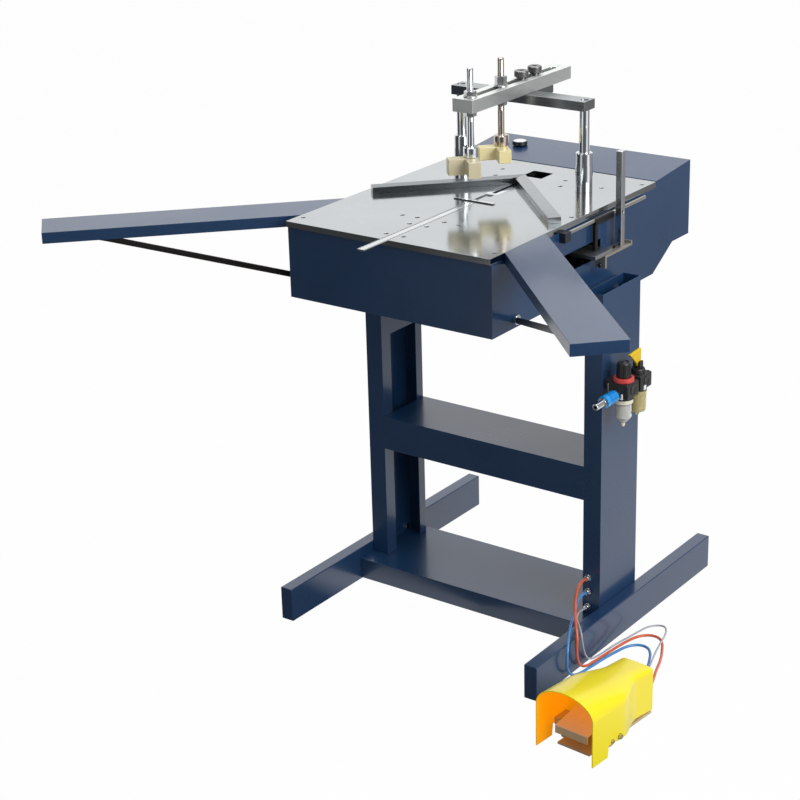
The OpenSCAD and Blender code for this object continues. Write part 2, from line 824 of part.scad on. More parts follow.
module strut() {
    from = [body_x + eye_t, strut_foot_y, strut_foot_z];
    to = [(strut_wing_sum + strut_wing_diff)/2, (strut_wing_sum - strut_wing_diff)/2, wing_z];
    run = to - from;
    turn = atan2(run[1], run[0]);
    rise = atan2(run[2], norm([run[0], run[1]]));
    difference() {
        translate(from) rotate([0, 0, turn]) rotate([0, -rise, 0])
            rotate([quarter, 0, quarter]) translate([-strut_leg/2, -strut_leg/2, -eye_d])
            linear_extrude(norm(run) + 2*eye_d) polygon([[0, 0], [strut_leg, 0],
                [strut_leg, strut_t], [strut_t, strut_t], [strut_t, strut_leg], [0, strut_leg]]);
        span(0, from[0], -plate_d, plate_d, 0, table_h);
        span(0, plate_d + plate_w, -plate_d, plate_d, wing_z, table_h + plate_w);
    }
}
module struts() color(colour_dark) mirrored() strut();

module fence() {
    difference() {
        translate([0, 0, table_h]) linear_extrude(fence_h) polygon([[0, corner_y],
            [fence_end, corner_y - fence_end],
            [fence_end + fence_shift/2, corner_y - fence_end + fence_shift/2],
            [0, corner_y + fence_shift]]);
        round_z(0, corner_y, table_h - over, table_h + fence_h + over, fence_notch_d);
    }
}
module left_fence() color(colour_steel) mirror([1, 0, 0]) fence();
module right_fence() color(colour_steel) fence();

// Clamp bridge
module post_sleeves() color(colour_chrome) mirrored() difference() {
    union() {
        round_z(post_x, post_y, table_h, sleeve_z1, sleeve_d);
        round_z(post_x, post_y, plate_z, table_h, spigot_d);
    }
    round_z(post_x, post_y, plate_z - over, sleeve_z1 + over, post_d + 2*run_fit);
}

module clamp_cylinders() color(colour_steel) mirrored() difference() {
    round_z(post_x, post_y, pan_top, plate_z, cyl_d);
    round_z(post_x, post_y, spring_z0, piston_top, cyl_bore + 2*run_fit);
    round_z(post_x, post_y, piston_top - over, plate_z + over, post_d + 2*run_fit);
}

module clamp_posts() color(colour_chrome) mirrored() {
    difference() {
        union() {
            round_z(post_x, post_y, post_z0, bar_z, post_d);
            round_z(post_x, post_y, post_z0, piston_top, cyl_bore);
        }
        round_z(post_x, post_y, bar_z - post_screw_l, bar_z + over, post_screw_d + 2*gap);
    }
    top = bar_z + bar_t - post_screw_sink;
    seat = top - post_screw_head_h;
    difference() {
        round_z(post_x, post_y, seat, top, post_screw_head_d);
        hex_z(post_x, post_y, top - post_key_h, top + over, post_key_af);
    }
    round_z(post_x, post_y, bar_z - post_screw_l, seat, post_screw_d);
}

module return_springs() color(colour_dark) mirrored() difference() {
    round_z(post_x, post_y, spring_z0, post_z0, post_d + 4*spring_wall);
    round_z(post_x, post_y, spring_z0 - over, post_z0 + over, post_d + 2*spring_wall);
}

module crossbar() color(colour_steel) {
    difference() {
        union() {
            span(-bar_l/2, bar_l/2, post_y - bar_d/2, post_y + bar_d/2, bar_z, bar_z + bar_t);
            span(-arm_w/2, arm_w/2, post_y + bar_d/2, post_y + bar_d/2 + tongue_l,
                bar_z + bar_t - tongue_t, bar_z + bar_t);
        }
        mirrored() {
            round_z(post_x, post_y, bar_z + bar_t - post_screw_sink - post_screw_head_h,
                bar_z + bar_t + over, post_screw_head_d + 2*gap);
            round_z(post_x, post_y, bar_z - over, bar_z + bar_t, post_screw_d + 2*gap);
        }
        for (y = knob_y)
            round_z(0, y, bar_z - over, bar_z + bar_t + over, knob_stud_d + 2*run_fit);
    }
}

module slotted_arm() color(colour_steel) difference() {
    span(-arm_w/2, arm_w/2, arm_y, arm_y + arm_l, arm_z, arm_z1);
    hull() for (y = [arm_slot_y0 + arm_slot_w/2, arm_slot_y1 - arm_slot_w/2])
        round_z(0, y, arm_z - over, arm_z1 + over, arm_slot_w);
    for (y = [arm_y + arm_hole_inset, arm_y + arm_l - 2*arm_hole_inset])
        round_z(0, y, arm_z - over, arm_z1 + over, arm_hole_d);
}

module knurled_knob(y) {
    difference() {
        round_z(0, y, arm_z1, arm_z1 + knob_h, knob_d);
        hex_z(0, y, arm_z1 + knob_h - washer_t, arm_z1 + knob_h + over, knob_stud_d);
    }
    round_z(0, y, bar_z + bar_t - tongue_t, arm_z1, knob_stud_d);
}
module front_knob() color(colour_dark) knurled_knob(knob_y[0]);
module rear_knob() color(colour_dark) knurled_knob(knob_y[1]);

module rod_nuts(y, upper) difference() {
    union() {
        round_z(0, y, arm_z1, arm_z1 + washer_t, washer_d);
        hex_z(0, y, arm_z1 + washer_t, arm_z1 + washer_t + upper*nut_h, nut_af);
        round_z(0, y, arm_z - washer_t, arm_z, washer_d);
        hex_z(0, y, arm_z - washer_t - nut_h, arm_z - washer_t, nut_af);
    }
    round_z(0, y, arm_z - washer_t - nut_h - over, arm_z1 + washer_t + upper*nut_h + over,
        rod_d + 2*run_fit);
}
module front_nuts() color(colour_steel) rod_nuts(front_rod_y, 1);
module rear_nuts() color(colour_steel) rod_nuts(rear_rod_y, 2);

module press_rod(y) {
    round_z(0, y, rod_z0, table_h + rod_top, rod_d);
    round_z(0, y, cap_z0, rod_z0, cap_d);
}
module front_rod() color(colour_chrome) press_rod(front_rod_y);
module rear_rod() color(colour_chrome) press_rod(rear_rod_y);

// A pad is a V at 45 degrees round its rod, open to the operator
module press_pad(y, h) {
    reach = pad_l/root2;
    width = pad_w/root2;
    translate([0, y + pad_shift, cap_z0 - h]) linear_extrude(h) polygon([[0, 0],
        [reach, -reach], [reach - width, -reach - width], [0, -2*width],
        [-reach + width, -reach - width], [-reach, -reach]]);
}
module front_pad() color("#d3c9a6") press_pad(front_rod_y, front_pad_h);
module rear_pad() color("#d8cba4") press_pad(rear_rod_y, rear_pad_h);

// Nailing head
module slide_rails() color(colour_chrome) mirrored() {
    round_y(rail_x, rail_z, rail_y0 + gap, rail_y1 - gap, rail_d);
    for (y = [rail_y0 - rail_block_l, rail_y1])
        span(rail_x - rail_block/2, rail_x + rail_block/2, max(y, body_y0 + sheet),
            y + rail_block_l, pan_top, rail_z + rail_d);
}

module carriage() color(colour_steel) difference() {
    union() {
        span(-carriage_hw, carriage_hw, carriage_y0, carriage_y1, carriage_z0, carriage_z1);
        span(carriage_hw - riser_w, carriage_hw, arm_bar_y0, carriage_y0 + 2*riser_w,
            carriage_z0, arm_bar_z);
        span(carriage_hw - riser_w, bracket_x0 + bracket_w - over, arm_bar_y0, arm_bar_y1,
            arm_bar_z, arm_bar_z + arm_bar_t);
        round_z(0, window_y, carriage_z1, stop_z1, stop_d);
        span(-magazine_w/2, magazine_w/2, carriage_y0, carriage_y0 + arm_bar_t, carriage_z1,
            magazine_z0);
    }
    mirrored() round_y(rail_x, rail_z, carriage_y0 - over, carriage_y1 + over,
        rail_d + 2*run_fit);
}

module drive_cylinder() color(colour_steel) difference() {
    round_z(0, head_y, carriage_z1, drive_z1, drive_d);
    round_z(0, head_y, carriage_z1 + drive_floor, drive_z1 - drive_cap,
        drive_bore + 2*run_fit);
    round_z(0, head_y, drive_z1 - drive_cap - over, drive_z1 + over, ram_d + 2*run_fit);
}

module hammer() color(colour_chrome) {
    round_z(0, head_y, piston_z0, piston_z0 + piston_t, drive_bore);
    round_z(0, head_y, piston_z0 + piston_t, ram_z1, ram_d);
    span(-blade_w/2, blade_w/2, head_y - blade_l/2, head_y + blade_l/2, ram_z1, blade_z1);
}

module magazine() color(colour_steel) difference() {
    span(-magazine_w/2, magazine_w/2, magazine_y0, magazine_y1, magazine_z0,
        magazine_z0 + magazine_h);
    span(-nail_w/2, nail_w/2, magazine_y0 - over, magazine_y1 + over,
        magazine_z0 + magazine_h/2 - nail_h/2, magazine_z0 + magazine_h/2 + nail_h/2);
}

module nail_pusher() color(colour_dark)
    span(-nail_w/2 + lift, nail_w/2 - lift, pusher_y1 - pusher_l, pusher_y1,
        magazine_z0 + magazine_h/2 - nail_h/2 + lift, magazine_z0 + magazine_h/2 + nail_h/2 - lift);

module lever_bracket() color(colour_steel) {
    span(bracket_x0, bracket_x0 + bracket_w, bracket_y0, bracket_y0 + bracket_l, bracket_z,
        arm_bar_z);
    span(bracket_x0, bracket_x0 + bracket_w, bracket_y0, bracket_y0 + bracket_t,
        arm_bar_z - tab_h, bracket_z);
    span(bracket_x0, bracket_x0 + bracket_w, bracket_y0 + bracket_l - bracket_t,
        bracket_y0 + bracket_l, arm_bar_z, arm_bar_z + bracket_t);
    difference() {
        span(side_rod_x - block_w/2 + lift, side_rod_x + block_w/2 - slider_inset, slider_y0,
            slider_y0 + slider_l, side_rod_z - slider_below, side_rod_z + slider_above);
        round_y(side_rod_x, side_rod_z, slider_y0 - over, slider_y0 + slider_l + over,
            side_rod_d + 2*run_fit);
    }
    span(side_rod_x - hanger_in, side_rod_x + hanger_out, slider_y0, slider_y0 + hanger_l,
        arm_bar_z + arm_bar_t, side_rod_z - slider_below);
}

module lever_bar() color(colour_chrome)
    span(lever_x - lever_side/2, lever_x + lever_side/2, lever_y - lever_side/2,
        lever_y + lever_side/2, arm_bar_z, arm_bar_z + lever_l);

module side_rod() color(colour_chrome) {
    round_y(side_rod_x, side_rod_z, side_rod_y0, side_rod_y1, side_rod_d);
    difference() {
        span(body_x, body_x + block_w, side_rod_y0 - block_l/2, side_rod_y0 + block_l/2,
            plate_z - block_h, plate_z);
        round_y(side_rod_x, side_rod_z, side_rod_y0, side_rod_y0 + block_l, side_rod_d + 2*gap);
    }
    round_x(side_rod_y1 - rod_pin_inset, side_rod_z, body_x, side_rod_x, side_rod_d/2);
}

// Air unit
module unit_body(y, h) {
    span(unit_x - unit_side/2, unit_x + unit_side/2, y - unit_side/2, y + unit_side/2,
        unit_z0, unit_z0 + h);
}
module regulator_body() color(colour_dark) {
    unit_body(unit_y, unit_h);
    round_z(unit_x, unit_y, unit_z0 + unit_h, knob_z0 + knob_stem_d, knob_stem_d);
    span(column_x, unit_x - unit_side/2, unit_y - unit_side/4, unit_y + unit_side/4,
        unit_z0 + unit_h/2, unit_z0 + unit_h);
    round_z(unit_x, unit_y, unit_z0 - bowl_h/4, unit_z0, bowl_d - 2*bowl_wall - 2*bowl_gap);
}

module regulator_ring() color("#d8504c") difference() {
    round_z(unit_x, unit_y, unit_z0 + unit_h, knob_z0, ring_d);
    round_z(unit_x, unit_y, unit_z0 + unit_h - over, knob_z0 + over, knob_stem_d + 2*gap);
}

module regulator_knob() color(colour_dark) difference() {
    round_z(unit_x, unit_y, knob_z0 + lift, knob_z0 + reg_knob_h, reg_knob_d);
    round_z(unit_x, unit_y, knob_z0 - over, knob_z0 + knob_stem_d + 2*lift,
        knob_stem_d + 2*run_fit);
}

module bowl(y, h, d) difference() {
    union() {
        round_z(unit_x, y, unit_z0 - h, unit_z0, d);
        round_z(unit_x, y, unit_z0 - h - drain_h, unit_z0 - h, drain_d);
    }
    round_z(unit_x, y, unit_z0 - h + bowl_wall, unit_z0 + over, d - 2*bowl_wall);
}
module air_bowls() {
    color("#d9dde0") bowl(unit_y, bowl_h, bowl_d);
    color("#d7b83c") bowl(lub_y, oil_bowl_h, bowl_d);
}

module lubricator_body() color(colour_dark) difference() {
    union() {
        unit_body(lub_y, unit_h);
        round_z(unit_x, lub_y, unit_z0 + unit_h, unit_z0 + lub_h, neck_d);
        span(unit_x - unit_side/4, unit_x + unit_side/4, unit_y + unit_side/2,
            lub_y - unit_side/2, unit_z0 + unit_h/4, unit_z0 + unit_h*3/4);
        round_z(unit_x, lub_y, unit_z0 - oil_bowl_h/4, unit_z0,
            bowl_d - 2*bowl_wall - 2*bowl_gap);
        for (x = [unit_x - ear_gap/2 - ear_t, unit_x + ear_gap/2])
            span(x, x + ear_t, lub_y - lever_root_w/2, lub_y + lever_root_w/2,
                unit_z0 + lub_h, lever_pin_z + lever_pin_d);
        round_x(lub_y, lever_pin_z, unit_x - ear_gap/2 - ear_t, unit_x + ear_gap/2 + ear_t,
            lever_pin_d);
    }
}

module valve_lever() color("#e8cf2a") difference() {
    union() {
        translate([0, lub_y, lever_pin_z]) side_slab(unit_x - lever_t/2, unit_x + lever_t/2,
            [[-lever_root_w/2, 0], [lever_root_w/2, 0],
            [lever_root_w/2, valve_lever_l],
            [lever_root_w/2 - lever_head_w, valve_lever_l - lever_head_fall]]);
        round_x(lub_y, lever_pin_z, unit_x - lever_t/2, unit_x + lever_t/2, lever_root_w);
    }
    round_x(lub_y, lever_pin_z, unit_x - lever_t, unit_x + lever_t, lever_pin_d + 2*run_fit);
}

module coupler() color(colour_chrome) difference() {
    union() {
        round_y(unit_x, coupler_z, coupler_y1 - coupler_l + nozzle_l, coupler_y1,
            coupler_stem_d);
        round_y(unit_x, coupler_z, coupler_y1 - coupler_l, coupler_y1 - coupler_l + nozzle_l,
            nozzle_d);
        hex_y(unit_x, coupler_z, sleeve_y0 + sleeve_l + sleeve_travel + coupler_hex_gap,
            coupler_y1, coupler_hex_af);
        round_y(unit_x, coupler_z, sleeve_y0 - stop_ring_l, sleeve_y0 - lift, stop_ring_d);
    }
    round_y(unit_x, coupler_z, coupler_y1 - coupler_l - over, coupler_y1 - coupler_floor,
        coupler_bore);
}

module coupler_sleeve() color("#2f8fd0") difference() {
    round_y(unit_x, coupler_z, sleeve_y0, sleeve_y0 + sleeve_l, coupler_d);
    round_y(unit_x, coupler_z, sleeve_y0 - over, sleeve_y0 + sleeve_l + over,
        coupler_stem_d + 2*run_fit);
}

// Hose fittings on the right column
module bulkhead_fittings() color(colour_chrome) for (z = fit_z) {
    hex_y(fit_x, z, column_y - fit_hex_l, column_y, fit_af);
    round_y(fit_x, z, fit_y, column_y - fit_hex_l, fit_nose_d);
    round_y(fit_x, z, column_y, column_y + sheet + fit_hex_l, fit_nose_d);
}

// Foot valve
module pedal_base() color("#8a7a5c") difference() {
    union() {
        span(guard_x - treadle_w/2, guard_x + treadle_w/2, base_y0,
            guard_y0 + guard_l - guard_t, 0, base_t);
        for (side = [-1, 1]) {
            x = guard_x + side*(guard_w/2 - guard_t - cheek_w/2);
            span(x - cheek_w/2, x + cheek_w/2, cheek_y0, cheek_y0 + cheek_l, 0, cheek_h);
            span(min(x, guard_x + side*treadle_w/2), max(x, guard_x + side*treadle_w/2),
                cheek_y0, cheek_y0 + cheek_l, 0, base_t);
            ear = guard_x + side*(treadle_w/2 - hinge_ear_t/2);
            span(ear - hinge_ear_t/2, ear + hinge_ear_t/2, hinge_y - hinge_d, hinge_y + hinge_d,
                base_t, hinge_z + hinge_d);
        }
    }
    round_x(hinge_y, hinge_z, guard_x - treadle_w, guard_x + treadle_w, hinge_d + 2*gap);
    for (y = pedal_bolt_y)
        round_x(y, pedal_bolt_z, guard_x - guard_w, guard_x + guard_w, screw_d + 2*gap);
}

// The guard's outline at a share of its length: a round arch in front, nearly square at the back
function arch_point(a, w, side, top, square) = [-w*sign(cos(a))*pow(abs(cos(a)), square),
    side + (top - side)*pow(sin(a), square)];
function guard_outline(share, inset, foot) = let(
        waist = max(0, min(1, (share*guard_l - guard_waist_from)/(guard_waist_to - guard_waist_from))),
        w = (guard_w - (guard_w - guard_rear_w)*waist*waist*(3 - 2*waist))/2 - inset,
        top = guard_h + (guard_rear_h - guard_h)*share - inset,
        side = guard_side_h + (guard_rear_h - guard_shoulder - guard_side_h)*share,
        square = 1 - 0.45*share)
    concat([[-w, foot]], [for (i = [0:arch_steps])
        arch_point(i*180/arch_steps, w, side, top, square)], [[w, foot]]);
// How far the guard's lower edge stands off the floor behind its front legs
function guard_foot(share) = let(leg = guard_leg_l/guard_l)
    guard_raise + (guard_rear_raise - guard_raise)*(share - leg)/(1 - leg);
// A shell between the outer and the inner outline, from one share of the length to another
function guard_ring(share, raised) = let(
        foot = raised*guard_foot(share),
        outer = guard_outline(share, 0, foot),
        inner = guard_outline(share, guard_t, foot))
    [for (p = concat(outer, [for (i = [len(inner) - 1:-1:0]) inner[i]]))
        [p[0], guard_y0 + guard_l*share, p[1]]];
module guard_shell(from, to, raised, steps)
    loft([for (j = [0:steps]) guard_ring(from + (to - from)*j/steps, raised)]);
// The foot valve stands a little askew on the floor
module askew() translate([guard_x, guard_y0, 0]) rotate([0, 0, foot_turn])
    translate([-guard_x, -guard_y0, 0]) children();
// A closed solid through rings that all have the same number of points
module loft(rings) {
    n = len(rings[0]);
    m = len(rings);
    polyhedron([for (r = rings) for (p = r) p],
        concat([[for (i = [0:n - 1]) i]], [[for (i = [n - 1:-1:0]) (m - 1)*n + i]],
            [for (j = [0:m - 2]) for (i = [0:n - 1])
                [j*n + i, (j + 1)*n + i, (j + 1)*n + (i + 1)%n]],
            [for (j = [0:m - 2]) for (i = [0:n - 1])
                [j*n + i, (j + 1)*n + (i + 1)%n, j*n + (i + 1)%n]]), convexity = 6);
}

module pedal_guard() color("#f2dc2e") translate([guard_x, 0, 0]) difference() {
    union() {
        guard_shell(0, guard_leg_l/guard_l, 0, 2);
        guard_shell(guard_leg_l/guard_l, 1, 1, guard_steps);
        translate([0, guard_back, 0]) rotate([quarter, 0, 0]) linear_extrude(guard_t)
            polygon(guard_outline(1, guard_t/2, guard_rear_raise + guard_t/2));
    }
    for (y = pedal_bolt_y)
        round_x(y, pedal_bolt_z, -guard_w, guard_w, screw_d + 2*gap);
    for (i = [-1:1])
        round_y(i*port_gap, port_z, guard_back - guard_t - over, guard_back + over,
            port_d + 2*gap);
}

module treadle() color("#d59a5e") {
    front = hinge_y - treadle_l;
    difference() {
        union() {
            side_slab(guard_x - treadle_w/2, guard_x + treadle_w/2, [
                [front, treadle_front_z - treadle_lip],
                [front + treadle_t, treadle_front_z - treadle_lip],
                [front + treadle_t, treadle_front_z + treadle_t*treadle_slope],
                [hinge_y, hinge_z], [hinge_y, hinge_z + treadle_t],
                [front, treadle_front_z + treadle_t]]);
            round_x(hinge_y, hinge_z, guard_x - treadle_w/2, guard_x + treadle_w/2,
                hinge_tube_d);
        }
        round_x(hinge_y, hinge_z, guard_x - treadle_w, guard_x + treadle_w,
            hinge_d + 2*run_fit);
        for (side = [-1, 1]) {
            x = guard_x + side*(treadle_w/2 - hinge_ear_t/2);
            span(x - hinge_ear_t/2 - lift, x + hinge_ear_t/2 + lift, hinge_y - 2*hinge_d,
                hinge_y + 2*hinge_d, hinge_z - 3*hinge_d, hinge_z + 3*hinge_d);
        }
    }
}

module pedal_bolts() color(colour_chrome) {
    round_x(hinge_y, hinge_z, guard_x - treadle_w/2, guard_x + treadle_w/2, hinge_d);
    for (side = [-1, 1]) for (y = pedal_bolt_y) {
        inner = guard_x + side*(guard_w/2 - guard_t - cheek_w);
        outer = guard_x + side*(guard_w/2 + lift);
        head = outer + side*bolt_h;
        round_x(y, pedal_bolt_z, min(inner, outer), max(inner, outer), screw_d);
        hex_x(y, pedal_bolt_z, min(outer, head), max(outer, head), screw_d*2);
    }
}

module pedal_valve() color(colour_dark) difference() {
    union() {
        span(guard_x - valve_w/2, guard_x + valve_w/2, valve_y0, valve_y1, base_t, valve_z1);
        for (i = [-1:1]) round_y(guard_x + i*port_gap, port_z, valve_y1, port_y, port_d);
    }
    round_z(guard_x, hinge_y - plunger_arm, valve_z1 - plunger_l + lift, valve_z1 + over,
        plunger_d + 2*run_fit);
}

module valve_plunger() color(colour_chrome) {
    top = hinge_z - (plunger_arm + plunger_d/2)*treadle_slope - lift;
    round_z(guard_x, hinge_y - plunger_arm, valve_z1 - plunger_l + plunger_travel + 2*lift, top,
        plunger_d);
}

// Hoses: a tube swept through the points of its route
function unit_of(v) = v/norm(v);
function directions(path) = [for (i = [0:len(path) - 1])
    unit_of(path[min(i + 1, len(path) - 1)] - path[max(i - 1, 0)])];
function sides_of(ways, i = 0, n = [0, 0, 1]) = i == len(ways) ? [] :
    let(side = unit_of(n - (n*ways[i])*ways[i])) concat([side], sides_of(ways, i + 1, side));
module hose(path, d) {
    ways = directions(path);
    sides = sides_of(ways);
    loft([for (i = [0:len(path) - 1]) [for (k = [0:hose_sides - 1])
        let(a = -360*k/hose_sides)
        path[i] + d/2*(cos(a)*sides[i] + sin(a)*cross(ways[i], sides[i]))]]);
}
module orange_hose() color("#e0653a") hose(orange_path, hose_d);
module blue_hose() color("#3f86c4") hose(blue_path, hose_d);
module clear_hose() color("#b9bcc6") hose(clear_path, clear_hose_d);

at_origin() feet();
at_origin() left_column();
at_origin() right_column();
at_origin() upper_shelf();
at_origin() lower_shelf();
at_origin() frame_bolts();
at_origin() body_box();
at_origin() base_pan();
at_origin() rear_cover();
at_origin() cover_knob();
at_origin() table_plate();
at_origin() plate_screws();
at_origin() left_wing();
at_origin() right_wing();
at_origin() struts();
at_origin() left_fence();
at_origin() right_fence();
at_origin() nail_guide();
at_origin() t_ruler();
at_origin() post_sleeves();
at_origin() clamp_cylinders();
at_origin() clamp_posts();
at_origin() return_springs();
at_origin() crossbar();
at_origin() slotted_arm();
at_origin() front_knob();
at_origin() rear_knob();
at_origin() front_nuts();
at_origin() rear_nuts();
at_origin() front_rod();
at_origin() rear_rod();
at_origin() front_pad();
at_origin() rear_pad();
at_origin() slide_rails();
at_origin() carriage();
at_origin() drive_cylinder();
at_origin() hammer();
at_origin() magazine();
at_origin() nail_pusher();
at_origin() lever_bracket();
at_origin() lever_bar();
at_origin() side_rod();
at_origin() regulator_body();
at_origin() regulator_ring();
at_origin() regulator_knob();
at_origin() air_bowls();
at_origin() lubricator_body();
at_origin() valve_lever();
at_origin() coupler();
at_origin() coupler_sleeve();
at_origin() bulkhead_fittings();
at_origin() askew() pedal_base();
at_origin() askew() pedal_guard();
at_origin() askew() treadle();
at_origin() askew() pedal_bolts();
at_origin() askew() pedal_valve();
at_origin() askew() valve_plunger();
at_origin() orange_hose();
at_origin() blue_hose();
at_origin() clear_hose();
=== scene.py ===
import json
import math
import bmesh
import bpy
from mathutils import Matrix, Vector


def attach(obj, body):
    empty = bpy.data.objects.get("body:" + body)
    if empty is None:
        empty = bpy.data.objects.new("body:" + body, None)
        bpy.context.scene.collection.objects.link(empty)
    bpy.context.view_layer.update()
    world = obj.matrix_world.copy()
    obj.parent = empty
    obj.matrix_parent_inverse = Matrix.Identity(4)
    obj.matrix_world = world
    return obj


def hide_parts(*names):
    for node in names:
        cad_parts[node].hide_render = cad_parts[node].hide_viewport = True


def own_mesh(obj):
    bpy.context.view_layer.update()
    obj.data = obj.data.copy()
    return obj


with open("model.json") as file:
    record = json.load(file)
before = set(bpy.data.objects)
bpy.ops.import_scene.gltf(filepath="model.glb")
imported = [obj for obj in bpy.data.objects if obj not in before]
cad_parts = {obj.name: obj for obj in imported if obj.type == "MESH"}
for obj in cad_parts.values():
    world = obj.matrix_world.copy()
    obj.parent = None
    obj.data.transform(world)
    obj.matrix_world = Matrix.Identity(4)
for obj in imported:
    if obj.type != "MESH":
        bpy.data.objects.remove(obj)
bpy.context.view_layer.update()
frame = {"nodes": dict(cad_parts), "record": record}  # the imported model: its nodes, bodies and joints
nodes = frame["nodes"]
scene = bpy.context.scene
middleY = 0.23042  # the part's own middle, measured from the table's front edge


def place(x, y, z):  # millimetres from the table's front edge, on the floor, to the shared frame
    return Vector((x / 1000, y / 1000 - middleY, z / 1000))


# The camera stands where the photographer stood
cameraSetup = {"x": 2202.75, "y": -2936.21, "z": 2034.61, "turn": 0.63777, "tilt": -0.37529,
               "roll": -0.028107, "lens": 89.76, "sensor": 36.0}
cameraData = bpy.data.cameras.new("photoCamera")
cameraData.lens = cameraSetup["lens"]
cameraData.sensor_width = cameraSetup["sensor"]
cameraData.clip_end = 60
camera = bpy.data.objects.new("photoCamera", cameraData)
scene.collection.objects.link(camera)
camera.matrix_world = (Matrix.Translation(place(cameraSetup["x"], cameraSetup["y"], cameraSetup["z"]))
                       @ Matrix.Rotation(cameraSetup["turn"], 4, "Z")
                       @ Matrix.Rotation(math.pi / 2 + cameraSetup["tilt"], 4, "X")
                       @ Matrix.Rotation(cameraSetup["roll"], 4, "Z"))
scene.camera = camera
print("camera placed")


# Materials: a Wire is one output of a node, and a sum on it adds a Math node
class Wire:
    def __init__(self, finish, socket):
        self.finish, self.socket = finish, socket

    def maths(self, operation, other):
        return self.finish.add("Math", {"operation": operation}, {0: self, 1: other})

    def __add__(self, other):
        return self.maths("ADD", other)

    def __radd__(self, other):
        return self.maths("ADD", other)

    def __sub__(self, other):
        return self.maths("SUBTRACT", other)

    def __rsub__(self, other):
        return self.finish.add("Math", {"operation": "SUBTRACT"}, {0: other, 1: self})

    def __mul__(self, other):
        return self.maths("MULTIPLY", other)

    def __rmul__(self, other):
        return self.maths("MULTIPLY", other)


class Finish:
    def __init__(self, name, tree=None):
        if tree is None:
            self.material = bpy.data.materials.new(name)
            self.material.use_nodes = True
            tree = self.material.node_tree
            self.shader = tree.nodes["Principled BSDF"]
        self.tree = tree

    def add(self, kind, settings=None, sockets=None, output=0):
        made = self.tree.nodes.new("ShaderNode" + kind)
        for name, value in (settings or {}).items():
            if name == "stops":
                while len(made.color_ramp.elements) < len(value):
                    made.color_ramp.elements.new(0.5)
                for element, (position, colour) in zip(made.color_ramp.elements, value):
                    element.position, element.color = position, colour
            else:
                setattr(made, name, value)
        for name, value in (sockets or {}).items():
            self.feed(made.inputs[name], value)
        return Wire(self, made.outputs[output])

    def feed(self, socket, value):
        if isinstance(value, Wire):
            self.tree.links.new(value.socket, socket)
        else:
            socket.default_value = value

    def shade(self, **sockets):
        for name, value in sockets.items():
            self.feed(self.shader.inputs[name.replace("_", " ")], value)
        return self

    def here(self):  # Object coordinates, in metres
        return self.add("TexCoord", output="Object")

    def noise(self, scale, detail, roughness=0.5, stretch=None):
        where = self.here()
        if stretch:
            where = self.add("Mapping", None, {"Vector": where, "Scale": stretch})
        return self.add("TexNoise", None, {"Vector": where, "Scale": scale, "Detail": detail,
                                           "Roughness": roughness})

    def range(self, value, low, high, fromLow=0.3, fromHigh=0.7):
        return self.add("MapRange", None, {"Value": value, "From Min": fromLow, "From Max": fromHigh,
                                           "To Min": low, "To Max": high})

    def blend(self, factor, first, second):
        return self.add("Mix", {"data_type": "RGBA"}, {"Factor": factor, 6: first, 7: second}, 2)

    def patchy(self, cloud, first, second, share=1):  # two tones in patches
        return self.blend(self.range(cloud, 0, 1), linear(first), linear(second, share))

    def bump(self, height, strength, distance):
        return self.add("Bump", None, {"Height": height, "Strength": strength, "Distance": distance})


def linear(tone, share=1):  # screen values from 0 to 255 as a shader takes them
    return tuple((((c / 255 + 0.055) / 1.055) ** 2.4 if c > 10 else c / 255 / 12.92) * share
                 for c in tone) + (1,)


def paint(name, main, patch, roughness, coat):
    made = Finish(name)
    cloud = made.noise(4, 4)
    speck = made.noise(700, 2)
    rub = made.noise(60, 5, 0.6, (1, 1, 0.2))
    tone = made.patchy(cloud * 0.7 + rub * 0.3, main, patch)
    return made.shade(Base_Color=tone, Roughness=made.range(cloud, roughness - 0.04, roughness + 0.06),
                      Coat_Weight=coat, Coat_Roughness=0.12,
                      Normal=made.bump(speck, 0.25, 0.00008)).material


def groundSteel(name, main, dark, roughness, along=(1, 40, 40)):
    made = Finish(name)
    lines = made.noise(40, 5, 0.6, along)
    cloud = made.noise(6, 3)
    tone = made.patchy(lines * 0.6 + cloud * 0.4, dark, main)
    return made.shade(Base_Color=tone, Metallic=1.0,
                      Roughness=made.range(lines * 0.5 + cloud * 0.5, roughness - 0.05, roughness + 0.08),
                      Normal=made.bump(lines, 0.2, 0.00004)).material


def plating(name, main, roughness=0.07):
    made = Finish(name)
    cloud = made.noise(25, 3)
    fine = made.noise(160, 3, 0.5, (1, 1, 8))
    uneven = made.range(cloud * 0.7 + fine * 0.3, roughness - 0.02, roughness + 0.05)
    return made.shade(Base_Color=made.patchy(cloud, main, main, 0.93), Metallic=1.0,
                      Roughness=uneven).material


def plastic(name, main, patch, roughness, coat=0.0):
    made = Finish(name)
    cloud = made.noise(30, 3)
    speck = made.noise(1400, 2)
    return made.shade(Base_Color=made.patchy(cloud, main, patch),
                      Roughness=made.range(speck, roughness - 0.05, roughness + 0.08),
                      Coat_Weight=coat, Normal=made.bump(speck, 0.3, 0.00005)).material


def clearPlastic(name, main, patch, roughness, through):
    made = Finish(name)
    cloud = made.noise(45, 3)
    return made.shade(Base_Color=made.patchy(cloud, main, patch),
                      Roughness=made.range(cloud, roughness - 0.03, roughness + 0.06),
                      Transmission_Weight=through, IOR=1.42).material


# The ruler's lines and centimetre ticks, in metres from its middle
rulerMarks = {"lineFrom": 0.0068, "lineTo": 0.0088, "tickFrom": 0.005, "tickShare": 0.2, "perMetre": 100}


